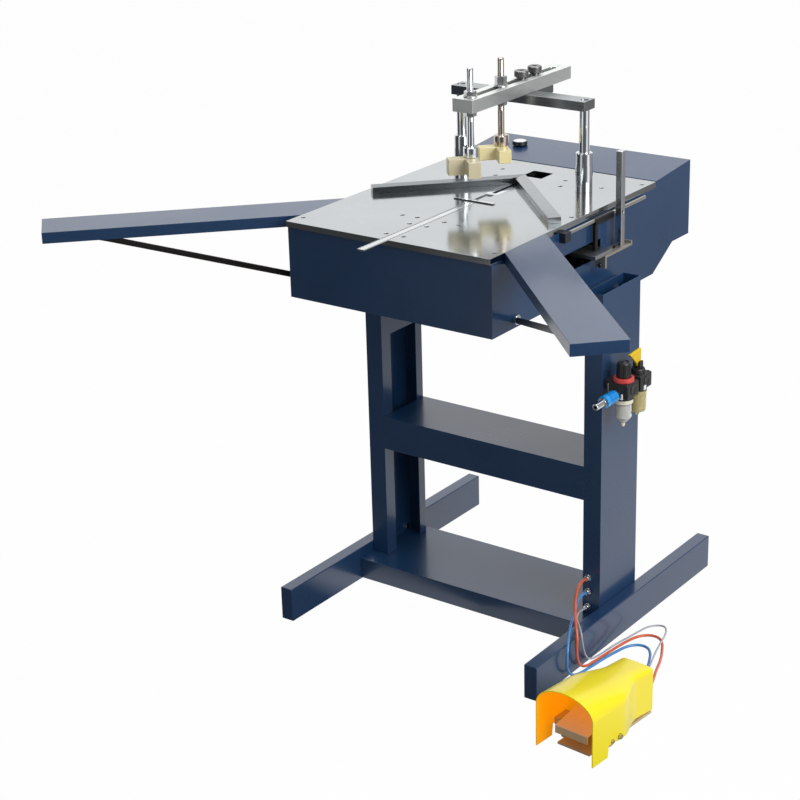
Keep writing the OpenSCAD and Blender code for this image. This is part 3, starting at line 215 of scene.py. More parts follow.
def ruled(name, main, mark):
    made = Finish(name)
    parts = made.add("SeparateXYZ", None, {"Vector": made.here()})
    across = made.add("Math", {"operation": "ABSOLUTE"}, {0: parts})
    along = Wire(made, parts.socket.node.outputs[1])
    within = made.add("Math", {"operation": "FRACT"}, {0: along * rulerMarks["perMetre"] + 50})
    tick = (within.maths("LESS_THAN", rulerMarks["tickShare"])
            * across.maths("GREATER_THAN", rulerMarks["tickFrom"]))
    line = across.maths("GREATER_THAN", rulerMarks["lineFrom"])
    marked = tick.maths("MAXIMUM", line) * across.maths("LESS_THAN", rulerMarks["lineTo"])
    cloud = made.noise(12, 4)
    tone = made.patchy(cloud, main, main, 0.88)
    return made.shade(Base_Color=made.blend(marked, tone, linear(mark)), Metallic=1 - marked * 0.8,
                      Roughness=made.range(cloud, 0.12, 0.2)).material


def glowing(name, main, patch, share):  # painted glow: an emission on the shaded inner side of a thin bright wall, standing in for light that comes through it
    made = Finish(name)
    tone = made.patchy(made.noise(14, 3), main, patch)
    return made.shade(Base_Color=tone, Roughness=0.4, Emission_Color=tone, Emission_Strength=share).material


finishes = {
    "navy_paint": paint("navyPaint", (26, 56, 92), (30, 62, 100), 0.3, 0.4),
    "ground_steel": groundSteel("groundSteel", (194, 198, 200), (172, 176, 179), 0.11, (40, 1, 40)),
    "dark_ground_steel": groundSteel("oiledSteel", (134, 139, 142), (110, 115, 119), 0.22),
    "dull_steel": groundSteel("dullSteel", (232, 235, 232), (208, 212, 209), 0.42, (30, 1, 30)),
    "dark_steel": groundSteel("blackenedSteel", (84, 82, 80), (60, 58, 56), 0.35),
    "chrome": plating("chromePlate", (228, 231, 234)),
    "bare_aluminium": groundSteel("milledAluminium", (190, 192, 194), (165, 168, 172), 0.35),
    "spring_steel": groundSteel("springSteel", (120, 120, 124), (84, 84, 88), 0.3),
    "beige_pad": plastic("frontPadPlastic", (214, 204, 172), (206, 195, 160), 0.4),
    "cream_pad": plastic("rearPadPlastic", (243, 232, 184), (238, 222, 160), 0.35),
    "black_plastic": plastic("blackPlastic", (30, 30, 32), (40, 40, 42), 0.38),
    "red_plastic": plastic("redPlastic", (214, 78, 74), (204, 66, 64), 0.3),
    "bowl_plastic": clearPlastic("bowlPlastic", (252, 252, 250), (246, 247, 244), 0.14, 0.62),
    "yellow_plastic": plastic("yellowPlastic", (238, 200, 24), (228, 188, 18), 0.3),
    "blue_sleeve": plastic("blueSleeve", (30, 158, 232), (24, 144, 222), 0.2, 0.5),
    "yellow_paint": paint("yellowPaint", (255, 239, 22), (255, 234, 16), 0.3, 0.3),
    "tan_paint": paint("tanPaint", (228, 226, 212), (218, 216, 202), 0.45, 0.1),
    "beige_paint": paint("beigePaint", (206, 190, 150), (192, 176, 138), 0.45, 0.1),
    "orange_tube": plastic("orangeTube", (232, 108, 70), (224, 96, 60), 0.22),
    "blue_tube": plastic("blueTube", (80, 150, 218), (68, 138, 208), 0.22),
    "clear_tube": plastic("clearTube", (188, 190, 200), (178, 181, 192), 0.2),
}
for extra in (  # finishes that differ from their slot's
    groundSteel("knurledSteel", (150, 150, 150), (112, 112, 113), 0.34),
    groundSteel("brightSteel", (216, 218, 219), (190, 192, 194), 0.25),
    plating("warmChrome", (208, 196, 184), 0.12),
    plastic("glossBlack", (22, 22, 24), (30, 30, 32), 0.24, 0.4),
    plating("polishedDisc", (244, 245, 246), 0.16),
    groundSteel("brushedChrome", (230, 232, 234), (206, 208, 211), 0.18, (60, 60, 2)),
    plastic("milkPlastic", (236, 232, 216), (228, 223, 204), 0.3),
    clearPlastic("amberPlastic", (246, 238, 190), (240, 228, 170), 0.12, 0.6),
    clearPlastic("lubricatingOil", (236, 212, 96), (226, 200, 82), 0.08, 0.4),
    plating("brassPlate", (214, 200, 158), 0.2),
    groundSteel("warmSteel", (200, 194, 182), (176, 170, 158), 0.5),
    groundSteel("hangerSteel", (74, 74, 76), (56, 56, 58), 0.4),
    paint("blockPaint", (18, 24, 36), (24, 30, 42), 0.4, 0.2),
    groundSteel("rodSteel", (206, 204, 198), (180, 178, 172), 0.3),
    # black of the plate screws, also used as painted shade on the nail slot's walls
    plastic("screwBlack", (52, 52, 54), (40, 40, 42), 0.5),
    # painted glow for the inner side of the foot valve's guard
    glowing("innerYellow", (255, 178, 4), (255, 168, 0), 0.42),
    groundSteel("blackSteel", (46, 46, 48), (34, 34, 36), 0.5),
    plastic("whitePlastic", (244, 245, 246), (232, 234, 236), 0.3),
    groundSteel("crossbarSteel", (168, 172, 174), (138, 142, 145), 0.2),
    groundSteel("fenceSteel", (168, 172, 174), (154, 158, 160), 0.24),
    ruled("ruledSteel", (222, 225, 226), (52, 52, 54)),
):
    finishes[extra.name] = extra
slotOf = {part["node"]: part["material_slot"] for part in frame["record"]["subparts"]}
bodyOf = {part: name for name, parts in frame["record"]["behaviour"]["bodies"].items() for part in parts}
finishOf = {"right_fence": "fenceSteel", "crossbar": "crossbarSteel",
            "magazine": "blackSteel", "hammer": "blackSteel", "nail_pusher": "blackSteel",
            "t_ruler": "ruledSteel", "side_rod": "rodSteel", "lever_bracket": "warmSteel"}


# Modelling by hand: a primitive is added, shaped in edit mode, then set at its place
def pickOnly(*chosen):
    bpy.ops.object.select_all(action="DESELECT")
    for piece in chosen:
        piece.select_set(True)
    bpy.context.view_layer.objects.active = chosen[0]


def startEditing(piece, kind="FACE"):
    pickOnly(piece)
    bpy.ops.object.mode_set(mode="EDIT")
    bpy.ops.mesh.select_mode(type=kind)
    bpy.ops.mesh.select_all(action="DESELECT")


def stopEditing():
    bpy.ops.object.mode_set(mode="OBJECT")


def chooseFaces(piece, test):  # faces whose middle, in millimetres, and normal pass the test
    shape = bmesh.from_edit_mesh(piece.data)
    for face in shape.faces:
        face.select_set(bool(test(face.calc_center_median() * 1000, face.normal)))
    bmesh.update_edit_mesh(piece.data)


def applyPlace(piece):
    pickOnly(piece)
    bpy.ops.object.transform_apply(location=True, rotation=True, scale=True)


def setAt(piece, at, axis="Z"):  # lays a piece that was shaped along Z at its place
    quarter = math.pi / 2
    turns = {"Z": (0, 0, 0), "-Z": (math.pi, 0, 0), "Y": (-quarter, 0, 0), "-Y": (quarter, 0, 0),
             "X": (0, quarter, 0), "-X": (0, -quarter, 0)}
    piece.rotation_euler = turns[axis]
    piece.location = place(*at)
    applyPlace(piece)
    return piece


def facesOutward(piece):
    startEditing(piece)
    bpy.ops.mesh.select_all(action="SELECT")
    bpy.ops.mesh.remove_doubles(threshold=0.000001)
    bpy.ops.mesh.normals_make_consistent(inside=False)
    stopEditing()


# A turned piece: (distance along Z, radius) of each ring, in millimetres
def turned(name, rings, sides=48, bored=False):
    along, radius = rings[0]
    bpy.ops.mesh.primitive_circle_add(vertices=sides, radius=radius / 1000, fill_type="NGON",
                                      location=(0, 0, along / 1000))
    piece = bpy.context.object
    piece.name = name
    applyPlace(piece)
    startEditing(piece)
    bpy.ops.mesh.select_all(action="SELECT")
    for nextAlong, nextRadius in rings[1:]:
        bpy.ops.mesh.extrude_region_move(
            TRANSFORM_OT_translate={"value": (0, 0, (nextAlong - along) / 1000)})
        if nextRadius != radius:
            share = nextRadius / radius
            bpy.ops.transform.resize(value=(share, share, 1), center_override=(0, 0, 0))
        along, radius = nextAlong, nextRadius
    if bored:
        bpy.ops.mesh.delete(type="ONLY_FACE")
        ends = [ring for ring in bmesh.from_edit_mesh(piece.data).faces if len(ring.verts) == sides]
        for ring in ends:
            ring.select_set(True)
        if ends:
            bpy.ops.mesh.delete(type="ONLY_FACE")
        bpy.ops.mesh.select_mode(type="EDGE")
        bpy.ops.mesh.select_non_manifold(extend=False)
        bpy.ops.mesh.bridge_edge_loops()
    stopEditing()
    facesOutward(piece)
    return piece


def block(name, low, high):
    first, last = place(*low), place(*high)
    bpy.ops.mesh.primitive_cube_add(size=1, location=(first + last) / 2)
    piece = bpy.context.object
    piece.name = name
    piece.scale = last - first
    applyPlace(piece)
    return piece


def cutBy(piece, tool, operation="DIFFERENCE"):
    pickOnly(piece)
    saw = piece.modifiers.new("cut", "BOOLEAN")
    saw.object, saw.operation, saw.solver = tool, operation, "EXACT"
    bpy.ops.object.modifier_apply(modifier=saw.name)
    bpy.data.objects.remove(tool)
    return piece


def drill(low, high, radius, sides=48):  # a straight tool for round holes, and with 6 sides for keys
    return turned("drill", [(low, radius), (high, radius)], sides)


def hexagonal(name, start, end, flats, chamfer, ends=("start", "end")):
    corner = flats / 2 / math.cos(math.pi / 6)
    wide, narrow, over = corner * 1.02, flats * 0.48, 0.01
    near = narrow if "start" in ends else wide
    far = narrow if "end" in ends else wide
    limit = turned("chamfer", [(start - over, near), (start + chamfer, wide),
                               (end - chamfer, wide), (end + over, far)])
    return cutBy(turned(name, [(start, corner), (end, corner)], 6), limit, "INTERSECT")


def groovedRound(piece, low, high, sides, thickness, depth):  # a groove in every second side face
    startEditing(piece)
    step = 2 * math.pi / sides
    chooseFaces(piece, lambda middle, normal: low < middle.z < high and abs(normal.z) < 0.3
                and math.floor(math.atan2(middle.y, middle.x) / step) % 2 == 1)
    bpy.ops.mesh.inset(thickness=thickness / 1000, depth=-depth / 1000, use_individual=True)
    stopEditing()
    return piece


def knurled(name, facts):  # a turned piece with a grooved grip, and a socket in its end
    piece = turned(name, facts["rings"], facts["sides"])
    groovedRound(piece, *facts["grip"], facts["sides"], *facts["groove"])
    if "socket" in facts:
        cutBy(piece, drill(*facts["socket"]))
    return piece


def softEdges(piece, width=0.0, segments=2, angle=50, smooth=38):  # rounded edges and smooth shading
    pickOnly(piece)
    if width:
        edges = piece.modifiers.new("edges", "BEVEL")
        edges.width, edges.segments = width / 1000, segments
        edges.limit_method, edges.angle_limit = "ANGLE", math.radians(angle)
        edges.use_clamp_overlap = False
        bpy.ops.object.modifier_apply(modifier=edges.name)
    bpy.ops.object.shade_smooth_by_angle(angle=math.radians(smooth))
    # Large faces stay flat beside rounded edges
    flatFirst = piece.modifiers.new("normals", "WEIGHTED_NORMAL")
    flatFirst.keep_sharp, flatFirst.weight = True, 90
    bpy.ops.object.modifier_apply(modifier=flatFirst.name)
    return piece


def joined(name, pieces):
    pickOnly(*pieces)
    if len(pieces) > 1:
        bpy.ops.object.join()
    pieces[0].name = name
    pieces[0].data.name = name
    return pieces[0]


def copied(piece, flip=False):  # a copy with its own mesh
    made = bpy.data.objects.new(piece.name + "Copy", piece.data.copy())
    scene.collection.objects.link(made)
    if flip:
        made.scale.x = -1
    applyPlace(made)
    if flip:
        facesOutward(made)
    return made


def laidOut(model, places, axis="Z"):  # one copy of the model at each place, and the model goes
    made = [setAt(copied(model), at, axis) for at in places]
    bpy.data.objects.remove(model)
    return made


def dress(piece, material):
    piece.data.materials.clear()
    piece.data.materials.append(material)


def fitted(piece, body, slotName, replaced=(), finish=None):
    dress(piece, finishes[finish or slotName])
    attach(piece, body)
    if replaced:
        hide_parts(*replaced)
    return piece


def tinted(piece, finish, test):  # another finish on some of the faces
    piece.data.materials.append(finishes[finish])
    startEditing(piece)
    chooseFaces(piece, test)
    piece.active_material_index = len(piece.data.materials) - 1
    bpy.ops.object.material_slot_assign()
    stopEditing()
    return piece


# A piece like its node, merged, with its flat faces cleaned and its edges rounded
def refined(nodeName, width, segments=2):
    words = nodeName.split("_")
    name = words[0] + "".join(word.capitalize() for word in words[1:])
    piece = bpy.data.objects.new(name, nodes[nodeName].data.copy())
    scene.collection.objects.link(piece)
    startEditing(piece)
    bpy.ops.mesh.select_all(action="SELECT")
    bpy.ops.mesh.remove_doubles(threshold=0.000002)
    bpy.ops.mesh.dissolve_limited(angle_limit=math.radians(0.4))
    stopEditing()
    softEdges(piece, width, segments, 35)
    return fitted(piece, bodyOf[nodeName], slotOf[nodeName], [nodeName], finishOf.get(nodeName))


# The hoses lie along the same points as in the part's source
hoses = {
    "orangeHose": {"node": "orange_hose", "finish": "orange_tube", "diameter": 6, "length": 807,
        "points": [(272, 304, 140), (272, 292, 140), (275, 272, 137), (284, 248, 131), (300, 218, 120),
            (320, 187, 104), (333, 171, 83), (337, 164, 59), (337, 167, 34), (338, 178, 15),
            (340, 197, 5), (342, 222, 3), (350, 296, 3), (355, 332, 3), (361, 358, 3), (372, 378, 3),
            (388, 388, 3), (405, 386, 3), (420, 372, 3), (435, 346, 3), (454, 304, 3), (468, 262, 3),
            (484, 220, 5), (501, 180, 17), (514, 150, 30), (519.3, 131.7, 34), (517.3, 109.8, 34),
            (515.6, 89.9, 34)]},
    "blueHose": {"node": "blue_hose", "finish": "blue_tube", "diameter": 6, "length": 760,
        "points": [(272, 304, 108), (272, 292, 108), (274, 276, 106), (283, 250, 102), (300, 208, 98),
            (319, 164, 93), (334, 134, 80), (340, 121, 57), (340, 122, 33), (341, 137, 13),
            (343, 160, 4), (347, 192, 3), (356, 266, 3), (361, 292, 3), (366, 313, 3), (376, 330, 3),
            (390, 338, 3), (406, 335, 3), (420, 321, 3), (435, 292, 3), (447, 262, 3), (459, 222, 4),
            (472, 182, 14), (484, 154, 28), (489.4, 134.3, 34), (487.5, 112.4, 34), (485.7, 92.5, 34)]},
    "clearHose": {"node": "clear_hose", "finish": "clear_tube", "diameter": 4, "length": 830,
        "points": [(272, 304, 72), (272, 297, 72), (275, 281, 76), (287, 250, 84), (302, 222, 91),
            (318, 202, 92), (331, 190, 82), (336, 187, 64), (336, 193, 43), (335, 205, 22),
            (334, 222, 8), (334, 244, 2), (342, 320, 2), (350, 364, 2), (355, 396, 2), (361, 420, 2),
            (373, 435, 2), (388, 436, 4), (402, 422, 7), (414, 398, 10), (427, 356, 14), (440, 310, 16),
            (457, 258, 17), (474, 212, 20), (488, 176, 28), (499, 152, 33), (504.3, 133, 34),
            (502.4, 111.1, 34), (500.7, 91.2, 34)]},
}
for name, facts in hoses.items():
    curve = bpy.data.curves.new(name, "CURVE")
    curve.dimensions = "3D"
    curve.resolution_u = 5
    curve.bevel_depth = facts["diameter"] / 2000
    curve.bevel_resolution = 3
    curve.use_fill_caps = True
    spline = curve.splines.new("BEZIER")
    spline.bezier_points.add(len(facts["points"]) - 1)
    for knot, point in zip(spline.bezier_points, facts["points"]):
        knot.co = place(*point)
        knot.handle_left_type = knot.handle_right_type = "AUTO"
    piece = bpy.data.objects.new(name, curve)
    scene.collection.objects.link(piece)
    dress(piece, finishes[facts["finish"]])
    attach(piece, "stand")
    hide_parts(facts["node"])
    place(*facts["points"][0])
print("hoses laid")

# Sheet metal, plates and blocks: their edges are rounded as folding and milling leave them
roundedEdges = {
    0.3: "nail_guide t_ruler nail_pusher",
    0.4: "clamp_posts hammer valve_plunger",
    0.5: "base_pan side_rod",
    0.6: "struts left_fence right_fence lever_bracket magazine slide_rails",
    0.7: "table_plate",
    0.8: "rear_cover pedal_base",
    0.9: "left_column right_column upper_shelf lower_shelf body_box treadle",
    1.0: "left_wing right_wing crossbar slotted_arm carriage",
    1.2: "pedal_valve drive_cylinder clamp_cylinders",
    1.4: "front_pad rear_pad",
    2.2: "feet",
}
rounded = {}
for width, nodeNames in roundedEdges.items():
    for nodeName in nodeNames.split():
        rounded[nodeName] = refined(nodeName, width)
secondFinish = {"blockFront": 20, "blockBack": 37, "hangerUnder": 838, "slotHalf": 6, "lipTop": 41}
tinted(rounded["side_rod"], "blockPaint", lambda middle, normal: middle.y < secondFinish["blockBack"]
       and not (middle.y > secondFinish["blockFront"] and normal.y < -0.9))
tinted(rounded["lever_bracket"], "hangerSteel", lambda middle, normal: middle.z > secondFinish["hangerUnder"])
# the slot's side walls are painted black: painted shade inside the narrow slot
tinted(rounded["nail_guide"], "screwBlack",
       lambda middle, normal: abs(middle.x) < secondFinish["slotHalf"] and abs(normal.z) < 0.5)
tinted(rounded["treadle"], "beige_paint", lambda middle, normal: middle.z < secondFinish["lipTop"])
print("sheet metal and plates rounded")

# Post sleeves, turned with a waist and a chamfered mouth
postSleeve = {"x": 151, "y": 488, "table": 920,
              "rings": [(-12, 15), (0, 15), (0, 17.6), (0.5, 18), (54, 18), (55.5, 17.3), (80.6, 17.3),
                        (82, 16), (82, 12.2), (80.8, 11.05), (-12, 11.05)]}
sleeves = laidOut(turned("postSleeve", postSleeve["rings"], 64, True),
                  [(side * postSleeve["x"], postSleeve["y"], postSleeve["table"]) for side in (1, -1)])
fitted(softEdges(joined("postSleeves", sleeves)), "stand", "chrome", ["post_sleeves"])

# Knurled knobs that lock the arm
armKnob = {"sides": 64, "under": 1138, "grip": (8, 14), "groove": (0.25, 0.7), "socket": (13, 19, 5.2, 6),
           "places": {"frontKnob": ("arm_knob_front", "front_knob", 487),
                      "rearKnob": ("arm_knob_rear", "rear_knob", 538)},
           "rings": [(-43, 4.4), (-42.4, 5), (0, 5), (0, 9.5), (2.2, 9.5), (3.4, 11), (4.6, 13.6),
                     (5.4, 14.6), (6.2, 15), (15.2, 15), (16.4, 14.5), (17.4, 13.2), (18, 11.8),
                     (18, 8.4), (17.4, 7.8)]}
for name, (body, node, y) in armKnob["places"].items():
    knob = setAt(knurled(name, armKnob), (0, y, armKnob["under"]))
    fitted(softEdges(knob, 0.15, 1), body, "dark_steel", [node], "knurledSteel")

# Rod nuts: chamfered hexagons and a washer above and below the arm
rodNut = {"flats": 22, "height": 9, "bore": 7.05, "top": 1138, "under": 1111, "washerHeight": 3,
          "washer": [(0, 7.05), (0, 13.5), (0.5, 14), (2.5, 14), (3, 13.5), (3, 7.05)],
          "sets": {"frontNuts": ("nuts_front", "front_nuts", 299, 1),
                   "rearNuts": ("nuts_rear", "rear_nuts", 410, 2)}}
for name, (body, node, y, above) in rodNut["sets"].items():
    parts = []
    for axis, level, way, many in (("Z", rodNut["top"], 1, above), ("-Z", rodNut["under"], -1, 1)):
        parts.append(setAt(turned("washer", rodNut["washer"], 48, True), (0, y, level), axis))
        nut = hexagonal("nut", 0, rodNut["height"], rodNut["flats"], 1.0)
        cutBy(nut, drill(-1, 10, rodNut["bore"]))
        parts += laidOut(nut, [(0, y, level + way * (rodNut["washerHeight"] + count * rodNut["height"]))
                               for count in range(many)], axis)
    fitted(softEdges(joined(name, parts), 0.2, 1), body, "ground_steel", [node], "brightSteel")

# Press rods: a turned cap above the pad, a plain shank and a threaded top
pressRod = {"root": 6.55, "crest": 7.0, "pitch": 2.0, "seat": 1015, "threadFrom": 73, "length": 181,
            "cap": [(0, 14.2), (1.2, 15.5), (7, 15.5), (7.6, 15), (9.4, 15), (10, 15.5), (20.2, 15.5),
                    (22, 13.6), (22, 7.6), (22.6, 7.0)],
            "rods": {"frontRod": ("press_front", "front_rod", 299, None),
                     "rearRod": ("press_rear", "rear_rod", 410, "warmChrome")}}
level = pressRod["threadFrom"]
rodRings = pressRod["cap"] + [(level, pressRod["crest"])]
while level + pressRod["pitch"] < pressRod["length"] - 2:
    rodRings.append((level + pressRod["pitch"] / 2, pressRod["root"]))
    level += pressRod["pitch"]
    rodRings.append((level, pressRod["crest"]))
rodRings += [(pressRod["length"] - 1.2, pressRod["crest"]), (pressRod["length"], 5.8)]
for name, (body, node, y, finish) in pressRod["rods"].items():
    rod = setAt(turned(name, rodRings, 40), (0, y, pressRod["seat"]))
    fitted(softEdges(rod, smooth=30), body, "chrome", [node], finish)
print("clamp bridge made")

# Screws of the table plate, at shares of half its width and of its depth
plateScrew = {"top": 919.7, "halfWidth": 243, "depth": 626, "key": (-3.2, 1, 1.5015),
              "rings": [(-14.2, 2.1), (-13.7, 2.5), (-5, 2.5), (-5, 4.5), (-0.5, 4.5), (0, 4.0)],
              "places": [(-0.94, 0.06), (0.94, 0.06), (-0.94, 0.945), (0.94, 0.945), (-0.81, 0.57),
                         (0.94, 0.5), (-0.28, 0.246), (-0.135, 0.248), (0.135, 0.248), (0.28, 0.246),
                         (-0.085, 0.179), (0.085, 0.179), (-0.085, 0.055), (0.085, 0.055), (-0.31, 0.8),
                         (0.31, 0.86), (-0.37, 0.88), (0.37, 0.79), (0.7, 0.842), (-0.7, 0.842)]}
screw = cutBy(turned("plateScrew", plateScrew["rings"], 24), drill(*plateScrew["key"], 6))
screws = laidOut(screw, [(across * plateScrew["halfWidth"], along * plateScrew["depth"], plateScrew["top"])
                         for across, along in plateScrew["places"]])
fitted(softEdges(joined("plateScrews", screws)), "stand", "dark_steel", ["plate_screws"], "screwBlack")

# Bolts of the stand's right side, which are then mirrored to the left
frameBolt = {"headHeight": 5.3, "eye": (243, 83, 778), "pin": 2.5,
             "eyeRings": [(0, 9.2), (0.8, 10), (7.2, 10), (8, 9.2), (8, 4.6), (7.4, 4), (4, 4), (3.9, 2)],
             "kinds": [{"span": (295.5, 301.0), "head": 295.5, "way": "-X", "flats": 13, "shank": 4,
                        "z": 64, "ys": (345, 445)},
                       {"span": (240.5, 258.5), "head": 258.5, "way": "X", "flats": 13, "shank": 4,
                        "z": 744, "ys": (345, 445)},
                       {"span": (240.5, 245.5), "head": 245.5, "way": "X", "flats": 8, "shank": 2.5,
                        "z": 902.5, "ys": (80, 164.25)}]}
bolts = []
for kind in frameBolt["kinds"]:
    start, end = kind["span"]
    head = hexagonal("head", 0, frameBolt["headHeight"], kind["flats"], 0.6, ("end",))
    bolts += laidOut(head, [(kind["head"], y, kind["z"]) for y in kind["ys"]], kind["way"])
    shank = turned("shank", [(0, kind["shank"]), (end - start, kind["shank"])], 24)
    bolts += laidOut(shank, [(start, y, kind["z"]) for y in kind["ys"]], "X")
eyeX, eyeY, eyeZ = frameBolt["eye"]
bolts.append(setAt(turned("eye", frameBolt["eyeRings"], 40), frameBolt["eye"], "X"))
pin = turned("pin", [(0, 4), (frameBolt["pin"], 4)], 24)
bolts.append(setAt(pin, (eyeX - frameBolt["pin"], eyeY, eyeZ), "X"))
rightBolts = joined("frameBolts", bolts)
leftBolts = copied(rightBolts, flip=True)
fitted(softEdges(joined("frameBolts", [rightBolts, leftBolts])), "stand", "chrome", ["frame_bolts"])

# Thumb screw of the rear cover, with a bright inset disc
coverScrew = {"at": (-150, 713, 930.3), "sides": 60, "grip": (2, 7), "groove": (0.2, 0.35),
              "rings": [(-22, 3.4), (-21.4, 4), (0, 4), (0, 15.8), (1.2, 17), (7.6, 17), (8.8, 16.2),
                        (9.2, 15.4), (8.6, 14.9)],
              "disc": [(8.0, 14.6), (9.0, 14.6), (9.7, 12.5), (10.0, 9), (10.1, 4)]}
thumb = softEdges(setAt(knurled("coverKnob", coverScrew), coverScrew["at"]), 0.12, 1)
fitted(thumb, "cover_screw", "dark_steel", ["cover_knob"], "glossBlack")
disc = setAt(turned("coverKnobDisc", coverScrew["disc"], coverScrew["sides"]), coverScrew["at"])
fitted(softEdges(disc), "cover_screw", "chrome", (), "polishedDisc")
print("screws made")

# Lever bar with its grub screw, the bracket's screws, and the clip behind the bar
leverBar = {"low": (256, 436, 833), "high": (270, 450, 1030), "grub": (270, 443, 905),
            "bracketScrews": [(262, 425, 833), (262, 398, 833)], "frontScrew": (262.5, 367, 812),
            "clip": (263, 452.2, 986)}
bar = block("leverBar", leverBar["low"], leverBar["high"])
cutBy(bar, setAt(drill(-3, 1, 3.1, 32), leverBar["grub"], "X"))
fitted(softEdges(bar, 1.1, 3), "head", "chrome", ["lever_bar"], "brushedChrome")
grub = cutBy(turned("leverGrubScrew", [(-3, 3.0), (-1.2, 3.0), (-0.8, 2.7)], 32), drill(-2.4, 0, 1.6, 6))
fitted(softEdges(setAt(grub, leverBar["grub"], "X")), "head", "dark_steel", (), "glossBlack")
socketHead = cutBy(turned("bracketScrew", [(0, 4.2), (3.4, 4.2), (4.2, 3.4)], 32), drill(2, 5, 2.0, 6))
bracketScrews = laidOut(socketHead, leverBar["bracketScrews"])
roundHead = turned("bracketScrew", [(0, 4.6), (2.8, 4.6), (4, 3.6)], 32)
bracketScrews.append(setAt(roundHead, leverBar["frontScrew"], "-Y"))
fitted(softEdges(joined("bracketScrews", bracketScrews)), "head", "dark_steel", (), "glossBlack")
clip = setAt(turned("leverClip", [(0, 1.2), (26, 3.4), (36, 3.4), (38, 2.4)], 24), leverBar["clip"])
fitted(softEdges(clip), "head", "dark_steel", (), "glossBlack")

# Air unit: bodies with ports and collars, ribbed knob, lock ring, bowls, valve lever, coupler
airUnit = {"x": 336, "filterY": 340, "oilY": 398, "low": 551, "top": 588, "filterHalf": 23, "oilHalf": 20,
           "deepHalf": 23, "portHeight": 22, "screwInset": 6,
           "port": [(0, 10.5), (1.2, 10.5), (1.6, 10), (1.6, 7.6), (0.8, 7.2)],
           "capScrew": [(0, 2.6), (0.9, 2.6), (1.3, 2.2)]}
unitX, filterY, oilY, unitLow, unitTop = (airUnit[key] for key in ("x", "filterY", "oilY", "low", "top"))


def unitBody(name, y, half, extras):
    deep, inset = airUnit["deepHalf"], airUnit["screwInset"]
    box = block(name, (unitX - half, y - deep, unitLow + 5), (unitX + half, y + deep, unitTop))
    shoulder = turned("shoulder", [(0, half - 2.5), (0.8, half - 1.2), (5.2, half - 1.2)], 48)
    parts = [softEdges(box, 3.2, 3), setAt(shoulder, (unitX, y, unitLow))]
    reach = (half - 0.1) * 0.995
    for side, axis in ((1, "X"), (-1, "-X")):  # gauge port and its plug
        port = turned("port", airUnit["port"], 40)
        parts.append(setAt(port, (unitX + side * reach, y, unitLow + airUnit["portHeight"]), axis))
    capScrew = cutBy(turned("capScrew", airUnit["capScrew"], 20), drill(0.5, 2, 1.3, 6))
    parts += laidOut(capScrew, [(unitX + dx, y + dy, unitTop) for dx in (inset - half, half - inset)
                                for dy in (inset - deep, deep - inset)])
    return joined(name, parts + extras)


def pilot(y, low):  # the round step below a body that carries its bowl
    return setAt(turned("pilot", [(low, 15.6), (low + 1, 16), (1, 16)], 48), (unitX, y, unitLow))


bracket = block("bracket", (298, filterY - 11.5, 569.5), (unitX - 22, filterY + 11.5, unitTop))
stem = setAt(turned("stem", [(0, 7), (22.2, 7), (23, 6.2)], 32), (unitX, filterY, unitTop))
regulator = unitBody("regulatorBody", filterY, airUnit["filterHalf"],
                     [softEdges(bracket, 1.2), stem, pilot(filterY, -13)])
fitted(softEdges(regulator), "stand", "black_plastic", ["regulator_body"])

neck = setAt(turned("neck", [(0, 15), (7, 15), (8.4, 13.6), (10, 13.2)], 48), (unitX, oilY, unitTop))
link = block("link", (unitX - 11.5, filterY + 22, 560.2), (unitX + 11.5, oilY - 22, 578.8))
valveParts = [neck, softEdges(link, 1), pilot(oilY, -11.5)]
valvePin = turned("pin", [(0, 2.4), (0.6, 3), (16.4, 3), (17, 2.4)], 32)
valveParts.append(setAt(valvePin, (unitX - 8.5, oilY, 607), "X"))
for middleX in (unitX - 6, unitX + 6):  # ears that hold the valve lever
    ear = block("ear", (middleX - 2.5, oilY - 7, 597), (middleX + 2.5, oilY + 7, 613))
    valveParts.append(softEdges(ear, 1.4, 3))
lubricator = unitBody("lubricatorBody", oilY, airUnit["oilHalf"], valveParts)
fitted(softEdges(lubricator), "stand", "black_plastic", ["lubricator_body"])

lockRing = [(0, 20.6), (0.9, 21.5), (7.2, 21.5), (8.4, 20.9), (9, 19.6), (9, 16), (7.6, 15.4), (7.6, 7.3),
            (0, 7.3)]
ring = setAt(turned("regulatorRing", lockRing, 64, True), (unitX, filterY, unitTop))
fitted(softEdges(ring), "stand", "red_plastic", ["regulator_ring"])
regulatorKnob = {"sides": 48, "z": 597, "grip": (6, 28), "groove": (0.22, 0.9),
                 "socket": (-1, 14.5, 7.05, 40),
                 "rings": [(0.3, 13.9), (1.0, 14.8), (3.2, 15), (4.4, 15), (4.8, 14.8), (27, 14.2),
                           (29.5, 13.4), (31.4, 12.2), (32.4, 10.6), (32.4, 9.4), (31.4, 8.8),
                           (31.2, 5.5), (32.6, 4.8), (33.2, 2.5), (34, 0.6)]}
knob = setAt(knurled("regulatorKnob", regulatorKnob), (unitX, filterY, regulatorKnob["z"]))
fitted(softEdges(knob, 0.2, 1), "pressure_knob", "black_plastic", ["regulator_knob"])

